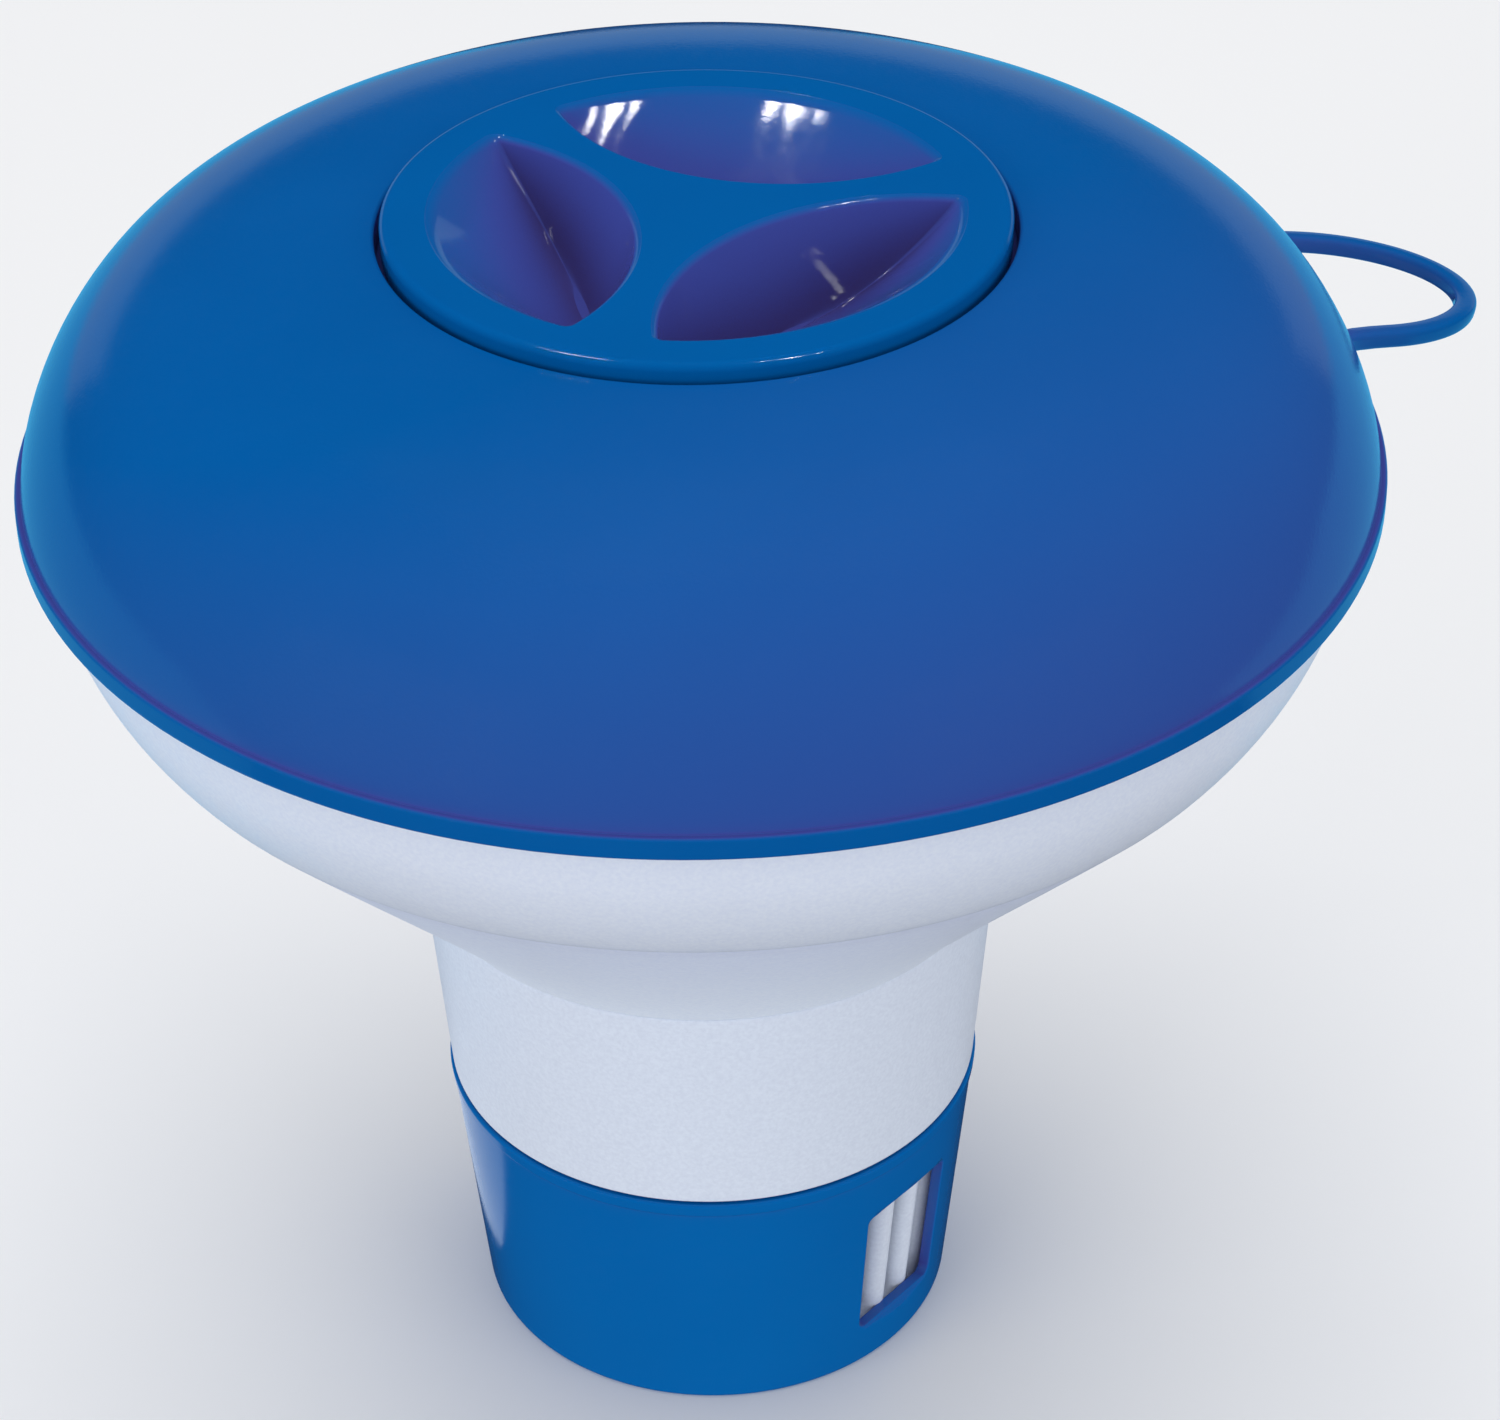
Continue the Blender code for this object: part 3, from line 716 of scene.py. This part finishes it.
def make_dome(material):
    dome = turned("dome_moulding", dome_line())
    first_lug = CAP_TURN + math.pi / 3
    low, high = LEDGE_BOTTOM - GAP, LEDGE_TOP + GAP
    rib_top = LEDGE_BOTTOM + 0.5
    notches = []
    ribs = []
    for third in THIRDS:
        lug = first_lug + third
        notches.append(soft_block(lug, NOTCH_NEAR, COLLAR_BORE, NOTCH_WIDTH, low, high, 0))
        for side in STOP_RIB_SIDES:
            rib = (*STOP_RIB_SPAN, STOP_RIB_WIDTH, STOP_RIB_BOTTOM, rib_top, 0.25)
            ribs.append(soft_block(lug + side, *rib))
    combine(dome, "DIFFERENCE", notches)
    combine(dome, "UNION", [*ribs, make_loop(), make_web(1), make_web(-1)])
    return finish_piece(dome, "float", ["dome_shell"], material)


# ---------------------------------------------------------------- bowl and tube


def stem_radius(z):
    return STEM_RADIUS_AT_RIM - STEM_SLOPE * (RIM_Z - z)


def ring_radius(z):
    return RING_BASE_RADIUS + (RING_TOP_RADIUS - RING_BASE_RADIUS) * z / RING_TOP


def seat_radius(z):
    return ring_radius(z) - RING_WALL - GAP


def tube_bore(z):
    return seat_radius(z) - SEAT_WALL


def bowl_curve(radius, depth, inner, stations):
    """The bowl's curve from the rim in to inner."""
    power, fall = BOWL_POWERS
    end = math.asin((inner / radius) ** power)
    line = []
    for i in range(stations + 1):
        angle = math.pi / 2 + (end - math.pi / 2) * i / stations
        side = max(math.cos(angle), 0)
        line.append((radius * math.sin(angle) ** (1 / power), RIM_Z - depth * side**fall, 0))
    return line


def belly_height(radius):
    """Height of the bowl's outer curve at a radius."""
    power, fall = BOWL_POWERS
    return RIM_Z - BOWL_DEPTH * math.sqrt(1 - (radius / BOWL_RADIUS) ** (2 * power)) ** fall


def bowl_line():
    outside = bowl_curve(BOWL_RADIUS, BOWL_DEPTH, BOWL_BOTTOM, BOWL_STATIONS)
    outside[0] = (BOWL_RADIUS, RIM_Z - GAP, 0.2)
    neck_z = SEAM_Z + GAP
    belly_end = outside[-1][1]
    flare = []
    for i in range(FLARE_STATIONS):
        part = i / FLARE_STATIONS
        z = neck_z + (belly_end - neck_z) * part
        neck = stem_radius(z) + NECK_STEP
        flare.append((neck + (BOWL_BOTTOM - neck) * part**FLARE_POWER, z, 0 if i else 0.3))
    crease = [
        (BOWL_BOTTOM - CREASE, belly_end - 0.1, 0.1),
        (BOWL_BOTTOM - CREASE - 0.2, belly_end - 0.5, 0.1),
    ]
    across, up = FLARE_WALL
    flare_inside = [(r - across, z + up, 0) for r, z, _ in flare[FLARE_STATIONS // 3 :: 3]]
    neck_bore = TUBE_RADIUS + GAP
    collar = [(neck_bore, neck_z, 0.2), (neck_bore, neck_z + NECK_BORE_HEIGHT, 1)]
    curve = bowl_curve(
        BOWL_RADIUS - WALL, BOWL_DEPTH - WALL, BOWL_BOTTOM - across, BOWL_INNER_STATIONS
    )
    belly_inside = [point for point in reversed(curve) if point[1] < RIM_Z - LIP_CLEARANCE]
    lip = [
        (LIP_RADIUS, RIM_Z - LIP_ROOT, 0.5),
        (LIP_RADIUS, BOWL_HIGH, 0.4),
        (LIP_RADIUS + LIP_WALL, BOWL_HIGH, 0.4),
        (LIP_RADIUS + LIP_WALL, RIM_Z - GAP, 0.2),
    ]
    return outside + crease + flare[::-1] + collar + flare_inside + belly_inside + lip


def make_bowl(material):
    bowl = turned("bowl_moulding", bowl_line())
    return finish_piece(bowl, "float", ["bowl_shell"], material)


def stadium(width, low, high, grow, count):
    """Outline, in (across, height), of a slot with rounded ends, grown by grow."""
    half = width / 2
    radius = half + grow
    top = arc((0, high - half), radius, 0, math.pi, count)
    bottom = arc((0, low + half), radius, math.pi, TAU, count)
    return top + bottom


def rounded_window(width, low, high, corner, grow, count):
    """Outline, in (across, height), of a window with rounded corners, grown by grow."""
    outline = []
    for quarter, (sx, sy) in enumerate([(1, 1), (-1, 1), (-1, -1), (1, -1)]):
        centre = (sx * (width / 2 - corner), high - corner if sy > 0 else low + corner)
        start = quarter * math.pi / 2
        outline += arc(centre, corner + grow, start, start + math.pi / 2, count)
    return outline


def inside(point, outline):
    """Whether a point lies in a closed outline, by the edges that a line from it crosses."""
    x, y = point[0], point[1]
    hit = False
    for k in range(len(outline)):
        x1, y1 = outline[k]
        x2, y2 = outline[(k + 1) % len(outline)]
        if (y1 > y) != (y2 > y) and x < (x2 - x1) * (y - y1) / (y2 - y1) + x1:
            hit = not hit
    return hit


def pierced_wall(outer, inner, band, rows, holes, edges):
    """A turned wall with rounded holes through it.

    outer and inner give the wall's radii by height, and band says where its outer and inner side
    start and where both end. Each hole is (angle, outline function of the growth). edges are the
    radii of the roundings on a hole's outer and inner rim. The wall is open below and above, where
    its columns match a turned solid's.
    """
    bm = bmesh.new()
    lows, high = band
    edge, inner_edge = edges
    unit = outer((lows[0] + high) / 2)
    length = TAU * unit

    def place(radius_of, depth, u, v):
        r = radius_of(v) + depth
        angle = u / unit + WALL_SEAM
        return bm.verts.new((r * math.cos(angle) * MM, r * math.sin(angle) * MM, v * MM))

    def skin(radius_of, low, grow, flip):
        """One side of the wall, meshed flat with its holes' rims as edges and then rolled up."""
        points = []
        fixed = []
        for row in range(rows + 1):
            v = low + (high - low) * row / rows
            for column in range(WALL_COLUMNS + 1):
                points.append((length * column / WALL_COLUMNS, v))
        stride = WALL_COLUMNS + 1
        for column in range(WALL_COLUMNS):
            fixed.append((column, column + 1))
            fixed.append((rows * stride + column, rows * stride + column + 1))
        for row in range(rows):
            first = row * stride
            fixed.append((first, first + stride))
            fixed.append((first + WALL_COLUMNS, first + stride + WALL_COLUMNS))
        rims = []
        margins = []
        for angle, outline in holes:
            across = (angle - WALL_SEAM) * unit
            rim = [(across + u, v) for u, v in outline(grow)]
            margins.append([(across + u, v) for u, v in outline(grow + HOLE_MARGIN)])
            start = len(points)
            points += rim
            count = len(rim)
            fixed += [(start + k, start + (k + 1) % count) for k in range(count)]
            rims.append(rim)
        kept = []
        remap = {}
        for index, point in enumerate(points):
            inner_grid = 0 < index // stride < rows
            if inner_grid and any(inside(point, margin) for margin in margins):
                continue
            remap[index] = len(kept)
            kept.append(point)
        fixed = [(remap[a], remap[b]) for a, b in fixed]
        result = delaunay_2d_cdt([Vector(p) for p in kept], fixed, [], 0, WELD)
        coords, faces = result[0], result[2]
        made = [place(radius_of, 0, u, v) for u, v in coords]
        for face in faces:
            middle = sum((coords[k] for k in face), Vector((0, 0))) / len(face)
            if any(inside(middle, rim) for rim in rims):
                continue
            bm.faces.new([made[k] for k in (reversed(face) if flip else face)])

    skin(outer, lows[0], edge, False)
    skin(inner, lows[1], inner_edge, True)
    for angle, outline in holes:
        rings = []
        outer_steps, inner_steps = HOLE_EDGE_STEPS
        for k in range(outer_steps + 1):
            a = math.pi / 2 * k / outer_steps
            rings.append((outer, edge * (1 - math.sin(a)), -edge * (1 - math.cos(a))))
        for k in range(inner_steps + 1):
            a = math.pi / 2 * k / inner_steps
            rings.append((inner, inner_edge * (1 - math.cos(a)), inner_edge * (1 - math.sin(a))))
        previous = None
        across = (angle - WALL_SEAM) * unit
        for radius_of, grow, depth in rings:
            ring = [place(radius_of, depth, across + u, v) for u, v in outline(grow)]
            if previous:
                for k in range(len(ring)):
                    n = (k + 1) % len(ring)
                    bm.faces.new((previous[k], previous[n], ring[n], ring[k]))
            previous = ring
    bmesh.ops.remove_doubles(bm, verts=bm.verts[:], dist=WELD)
    return bm


def cup(name, wall, above, below):
    """A pierced wall with the turned part above it and the closed foot below it.

    above goes from the wall's outer top over to its inner top. below goes from the wall's inner
    foot in to the axis, down it, and out to the wall's outer foot.
    """
    sweep(wall, rounded_line(above, False), WALL_COLUMNS)
    foot = rounded_line(below, False)
    first = next(k for k, (r, z) in enumerate(foot) if r <= 0)
    poles = [wall.verts.new((0, 0, z * MM)) for r, z in foot if r <= 0]
    for pole, side, end in ((poles[0], foot[:first], -1), (poles[1], foot[first + 2 :], 0)):
        made = sweep(wall, side, WALL_COLUMNS)
        for i in range(WALL_COLUMNS):
            wall.faces.new((made[i][end], pole, made[(i + 1) % WALL_COLUMNS][end]))
    bmesh.ops.remove_doubles(wall, verts=wall.verts[:], dist=WELD)
    loose = [v for v in wall.verts if not v.link_faces]
    bmesh.ops.delete(wall, geom=loose, context="VERTS")
    return link(name, wall)


def slot_outline(grow):
    return stadium(SLOT_WIDTH, SLOT_LOW, SLOT_HIGH, grow, 8)


def make_tube(material):
    (low, inner_low), high = SLOT_BAND
    middle = (SLOTS - 1) / 2
    holes = []
    for half in (0, math.pi):
        for i in range(SLOTS):
            holes.append((half + SLOT_TURN + (i - middle) * SLOT_PITCH, slot_outline))
    edges = (RIB_ROUND, SLOT_INNER_EDGE)
    wall = pierced_wall(seat_radius, tube_bore, SLOT_BAND, SLOT_ROWS, holes, edges)
    groove_low, groove_high = BEAD_Z - GROOVE_FEET[0], BEAD_Z + GROOVE_FEET[1]
    funnel, funnel_low, funnel_high = SHOULDER_FUNNEL
    above = [
        (seat_radius(high), high, 0),
        (seat_radius(groove_low), groove_low, 0.2),
        (GROOVE_RADIUS, BEAD_Z - GROOVE_FLAT, 0.3),
        (GROOVE_RADIUS, BEAD_Z + GROOVE_FLAT, 0.3),
        (seat_radius(groove_high), groove_high, 0.3),
        (seat_radius(SHOULDER_Z), SHOULDER_Z, 0.2),
        (stem_radius(SHOULDER_Z), SHOULDER_Z, 0.3),
        (stem_radius(SEAM_Z - 0.6), SEAM_Z - 0.6, 0),
        (stem_radius(SEAM_Z) - 0.1, SEAM_Z, 0.25),
        (TUBE_RADIUS, SEAM_Z, 0),
        (TUBE_RADIUS, TUBE_TOP, 0.4),
        (TUBE_BORE, TUBE_TOP, 0.4),
        (TUBE_BORE, SEAM_Z + 1, 0),
        (tube_bore(SHOULDER_Z) + funnel, SHOULDER_Z + funnel_high, 0),
        (tube_bore(SHOULDER_Z), SHOULDER_Z - funnel_low, 0),
        (tube_bore(high), high, 0),
    ]
    floor = TUBE_LOW + SEAT_WALL
    below = [
        (tube_bore(inner_low), inner_low, 0),
        (tube_bore(floor), floor, 0.15),
        (0, floor, 0),
        (0, TUBE_LOW, 0),
        (seat_radius(TUBE_LOW), TUBE_LOW, 0.5),
        (seat_radius(low), low, 0),
    ]
    tube = cup("tube_moulding", wall, above, below)
    tab = (GROOVE_RADIUS, STOP_REACH, STOP_WIDTH, STOP_LOW, SHOULDER_Z + 0.5, 0.2)
    combine(tube, "UNION", [soft_block(STOP_ANGLE, *tab)])
    tube.data.transform(Matrix.Rotation(WINDOW_TURN, 4, "Z"))
    return finish_piece(tube, "float", ["chamber_tube"], material)


# ---------------------------------------------------------------- control ring


def ring_bore(z):
    return ring_radius(z) - RING_WALL


def window_outline(grow):
    return rounded_window(WINDOW_WIDTH, WINDOW_LOW, WINDOW_HIGH, WINDOW_CORNER, grow, 5)


def make_ring(material):
    (low, _), high = WINDOW_BAND
    holes = [(half, window_outline) for half in (0, math.pi)]
    wall = pierced_wall(ring_radius, ring_bore, WINDOW_BAND, WINDOW_ROWS, holes, WINDOW_EDGES)
    lip = RING_TOP - LIP_HEIGHT
    above = [
        (ring_radius(high), high, 0),
        (ring_radius(lip - 0.25), lip - 0.25, 0.1),
        (ring_radius(lip) + LIP_PROUD, lip, 0.15),
        (RING_TOP_RADIUS + LIP_PROUD, RING_TOP, 0.35),
        (ring_bore(RING_TOP), RING_TOP, 0.2),
        (ring_bore(BEAD_Z + BEAD_FOOT), BEAD_Z + BEAD_FOOT, 0.2),
        (BEAD_RADIUS, BEAD_Z, 0.5),
        (ring_bore(BEAD_Z - BEAD_FOOT), BEAD_Z - BEAD_FOOT, 0.2),
        (ring_bore(high), high, 0),
    ]
    below = [
        (ring_bore(low), low, 0),
        (ring_bore(RING_FLOOR), RING_FLOOR, 0.4),
        (0, RING_FLOOR, 0),
        (0, 0, 0),
        (RING_BASE_RADIUS, 0, BASE_EDGE),
        (ring_radius(low), low, 0),
    ]
    ring = cup("control_ring_moulding", wall, above, below)
    outline = arc((0, 0), STOP_REACH + GAP, -STOP_MARGIN, STOP_ANGLE + STOP_MARGIN, 24)
    outline += arc((0, 0), STOP_RECESS, STOP_ANGLE + STOP_MARGIN, -STOP_MARGIN, 24)
    ends = (STOP_LOW - GAP, RING_TOP + 1)
    recess = loft("recess", [[(x, y, z) for x, y in outline] for z in ends])
    combine(ring, "DIFFERENCE", [recess])
    ring.data.transform(Matrix.Rotation(WINDOW_TURN, 4, "Z"))
    return finish_piece(ring, "control_ring", ["control_ring"], material)


# ---------------------------------------------------------------- cap and seal


def lens(grow, corner, arc_steps=28, corner_steps=8):
    """Outline of a finger pocket: two arcs that meet at two rounded corners."""
    outer = POCKET_OUTER + grow
    inner = POCKET_INNER + grow
    far = POCKET_CENTRE
    o, i = outer - corner, inner - corner
    x = (o * o - i * i + far * far) / (2 * far)
    y = math.sqrt(o * o - x * x)
    outer_end = math.atan2(y, x)
    inner_end = math.atan2(y, x - far)
    outline = arc((0, 0), outer, -outer_end, outer_end, arc_steps)
    outline += arc((x, y), corner, outer_end, inner_end, corner_steps)[1:-1]
    outline += arc((far, 0), inner, inner_end, TAU - inner_end, arc_steps)
    outline += arc((x, -y), corner, -inner_end, -outer_end, corner_steps)[1:-1]
    return outline


def pocket_rings(grow, depth, rim):
    """Rings of a finger pocket, or of the pod round it: two curved sides that meet in a keel.

    With a rim the pocket's edge is rounded to that radius and the rings start above the cap's top.
    Without one they start inside the plate.
    """
    rings = []
    steepness, fullness = KEEL_CURVE

    def ring(swell, below):
        part = max(below / depth, 0)
        across = 1 - (1 - KEEL_WIDTH) * part**KEEL_CLOSING
        along = (1 - (KEEL_FLAT * part) ** steepness) ** fullness
        outline = lens(grow + swell, POCKET_CORNER + max(swell, 0))
        z = CAP_TOP - below
        rings.append([(KEEL_X + (x - KEEL_X) * across, y * along, z) for x, y in outline])

    start = POD_START
    if rim:
        ring(rim * RIM_FLARE[0], -RIM_FLARE[1])
        for k in range(1, RIM_STEPS + 1):
            a = math.pi / 2 * (0.05 + 0.95 * k / RIM_STEPS)
            ring(rim * (1 - math.sin(a)), rim * (1 - math.cos(a)))
        start = rim
    else:
        ring(0, start)
    for k in range(1, KEEL_STEPS + 1):
        ring(0, start + (depth - start) * math.sin(math.pi / 2 * k / KEEL_STEPS))
    return rings


def make_cap(material):
    plate_bottom = CAP_TOP - CAP_PLATE
    skirt_bore = SKIRT_RADIUS - SKIRT_WALL
    line = [
        (CAP_RADIUS - 2, CAP_TOP, 0),
        (CAP_RADIUS, CAP_TOP, CAP_EDGE),
        (CAP_RADIUS, CAP_UNDERSIDE, 0.3),
        (SKIRT_RADIUS, CAP_UNDERSIDE, 0.3),
        (SKIRT_RADIUS, SKIRT_BOTTOM, 0.4),
        (skirt_bore, SKIRT_BOTTOM, 0.4),
        (skirt_bore, plate_bottom, 0.5),
        (skirt_bore - 2, plate_bottom, 0),
    ]
    cap = turned("cap_moulding", line, closed=False)
    pods = []
    pockets = []
    for third in THIRDS:
        turn = Matrix.Rotation(third, 4, "Z")
        pod = loft("pod", pocket_rings(POCKET_WALL, POCKET_DEPTH + POCKET_WALL, 0))
        pocket = loft("pocket", pocket_rings(0, POCKET_DEPTH, POCKET_RIM))
        for solid in (pod, pocket):
            solid.data.transform(turn)
        pods.append(pod)
        pockets.append(pocket)
    lugs = [
        soft_block(third + math.pi / 3, LUG_ROOT, LUG_REACH, LUG_WIDTH, LUG_LOW, LUG_HIGH, 0.3)
        for third in THIRDS
    ]
    combine(cap, "UNION", pods)
    combine(cap, "DIFFERENCE", pockets)
    combine(cap, "UNION", lugs)
    cap.data.transform(Matrix.Rotation(CAP_TURN, 4, "Z"))
    return finish_piece(cap, "cap", ["cap"], material)


def make_seal(material):
    line = [
        (SEAL_OUTER, SEAL_HIGH, SEAL_EDGE),
        (SEAL_OUTER, SEAL_LOW, SEAL_EDGE),
        (SEAL_INNER, SEAL_LOW, SEAL_EDGE),
        (SEAL_INNER, SEAL_HIGH, SEAL_EDGE),
    ]
    seal = turned("cap_seal_moulding", line, steps=SEAL_ROUND)
    return finish_piece(seal, "seal", ["cap_seal"], material)


# ---------------------------------------------------------------- studio


def make_floor():
    bm = bmesh.new()
    bmesh.ops.create_grid(bm, x_segments=2, y_segments=2, size=FLOOR_SIZE)
    floor = link("studio_floor", bm)
    material, tree, shader = new_material("studio_floor")
    tone = blend_colours(tree, spread(tree, noise(tree, 2, 2), 0, 1), *FLOOR_TONES)
    tree.links.new(tone, shader.inputs["Base Color"])
    shader.inputs["Roughness"].default_value = 0.9
    shader.inputs["Specular IOR Level"].default_value = 0.1
    floor.data.materials.append(material)
    floor.visible_glossy = False
    floor.visible_diffuse = False


def glow_card(name, strength, colour, points):
    """A card that only reflections see."""
    bm = bmesh.new()
    bm.faces.new([bm.verts.new(Vector(p) * MM) for p in points])
    card = link(name, bm)
    material = bpy.data.materials.new(name)
    material.use_nodes = True
    tree = material.node_tree
    tree.nodes.clear()
    out = tree.nodes.new("ShaderNodeOutputMaterial")
    glow = tree.nodes.new("ShaderNodeEmission")
    glow.inputs["Strength"].default_value = strength
    glow.inputs["Color"].default_value = (*colour, 1)
    tree.links.new(glow.outputs["Emission"], out.inputs["Surface"])
    card.data.materials.append(material)
    card.visible_camera = False
    card.visible_diffuse = False
    card.visible_shadow = False
    card.visible_transmission = False


def area_light(name, azimuth, elevation, distance, size, power):
    """A softbox aimed at the float, with no highlight. Azimuth 0 is the camera's side, 90 is +X."""
    a, e = math.radians(azimuth), math.radians(elevation)
    away = Vector((math.sin(a) * math.cos(e), -math.cos(a) * math.cos(e), math.sin(e)))
    data = bpy.data.lights.new(name, "AREA")
    data.shape = "RECTANGLE"
    data.size, data.size_y = size
    data.energy = power
    light = bpy.data.objects.new(name, data)
    light.visible_glossy = False
    light.visible_camera = False
    light.location = LIGHT_TARGET + away * distance
    light.rotation_euler = away.to_track_quat("Z", "Y").to_euler()
    bpy.context.scene.collection.objects.link(light)
    return light


def glint(name, piece, azimuth, elevation, size):
    """A small softbox that only makes a highlight, and only on one piece."""
    power = GLINT_BRIGHTNESS * size[0] * size[1]
    light = area_light(name, azimuth, elevation, GLINT_DISTANCE, size, power)
    light.visible_glossy = True
    light.visible_diffuse = False
    lit = bpy.data.collections.new(name + "_lit")
    lit.objects.link(piece)
    light.light_linking.receiver_collection = lit


def make_world():
    """An even sky, darker to reflections, so that the plastics mirror the cards and not the sky."""
    world = bpy.data.worlds.new("studio")
    bpy.context.scene.world = world
    world.use_nodes = True
    world.cycles.sampling_method = "NONE"
    tree = world.node_tree
    tree.nodes.clear()
    out = tree.nodes.new("ShaderNodeOutputWorld")
    path = tree.nodes.new("ShaderNodeLightPath")
    mix = tree.nodes.new("ShaderNodeMixShader")
    tree.links.new(path.outputs["Is Glossy Ray"], mix.inputs["Fac"])
    for socket, (colour, strength) in ((mix.inputs[1], SKY_FILL), (mix.inputs[2], SKY_SEEN)):
        sky = tree.nodes.new("ShaderNodeBackground")
        sky.inputs["Color"].default_value = (*colour, 1)
        sky.inputs["Strength"].default_value = strength
        tree.links.new(sky.outputs["Background"], socket)
    tree.links.new(mix.outputs["Shader"], out.inputs["Surface"])


def make_camera():
    pitch, yaw, roll = CAMERA_ANGLES
    forward = Vector(
        (math.sin(yaw) * math.cos(pitch), math.cos(yaw) * math.cos(pitch), -math.sin(pitch))
    )
    right = forward.cross(Vector((0, 0, 1))).normalized()
    up = right.cross(forward)
    turned_right = math.cos(roll) * right + math.sin(roll) * up
    turned_up = -math.sin(roll) * right + math.cos(roll) * up
    data = bpy.data.cameras.new("camera")
    data.sensor_width = CAMERA_SENSOR
    data.lens = CAMERA_LENS
    data.clip_start = 0.01
    data.clip_end = 50
    camera = bpy.data.objects.new("camera", data)
    place = (Vector(CAMERA_PLACE) * FLOAT_RADIUS + Vector((0, 0, RIM_Z))) * MM
    basis = Matrix((turned_right, turned_up, -forward)).transposed().to_4x4()
    camera.matrix_world = Matrix.Translation(place) @ basis
    bpy.context.scene.collection.objects.link(camera)
    bpy.context.scene.camera = camera


def make_studio(cap):
    make_floor()
    make_world()
    make_camera()
    for softbox in SOFTBOXES:
        area_light(*softbox)
    for i, (azimuth, elevation, size) in enumerate(GLINTS):
        glint(f"cap_glint_{i}", cap, azimuth, elevation, size)
    for card in CARDS:
        glow_card(*card)
    view = bpy.context.scene.view_settings
    view.view_transform = "Standard"
    view.look = "None"


def main():
    shell_blue = blue_plastic("shell_blue", SHELL_TONES, SHELL_FINISH, side_shaded=True)
    cap_blue = blue_plastic("cap_blue", CAP_TONES, CAP_FINISH)
    ring_blue = blue_plastic("ring_blue", RING_TONES, RING_FINISH)
    make_dome(shell_blue)
    make_bowl(white_plastic("bowl_white", with_painted_shade=True))
    make_tube(white_plastic("tube_white"))
    make_ring(ring_blue)
    cap = make_cap(cap_blue)
    make_seal(seal_rubber("seal_black"))
    make_studio(cap)


main()
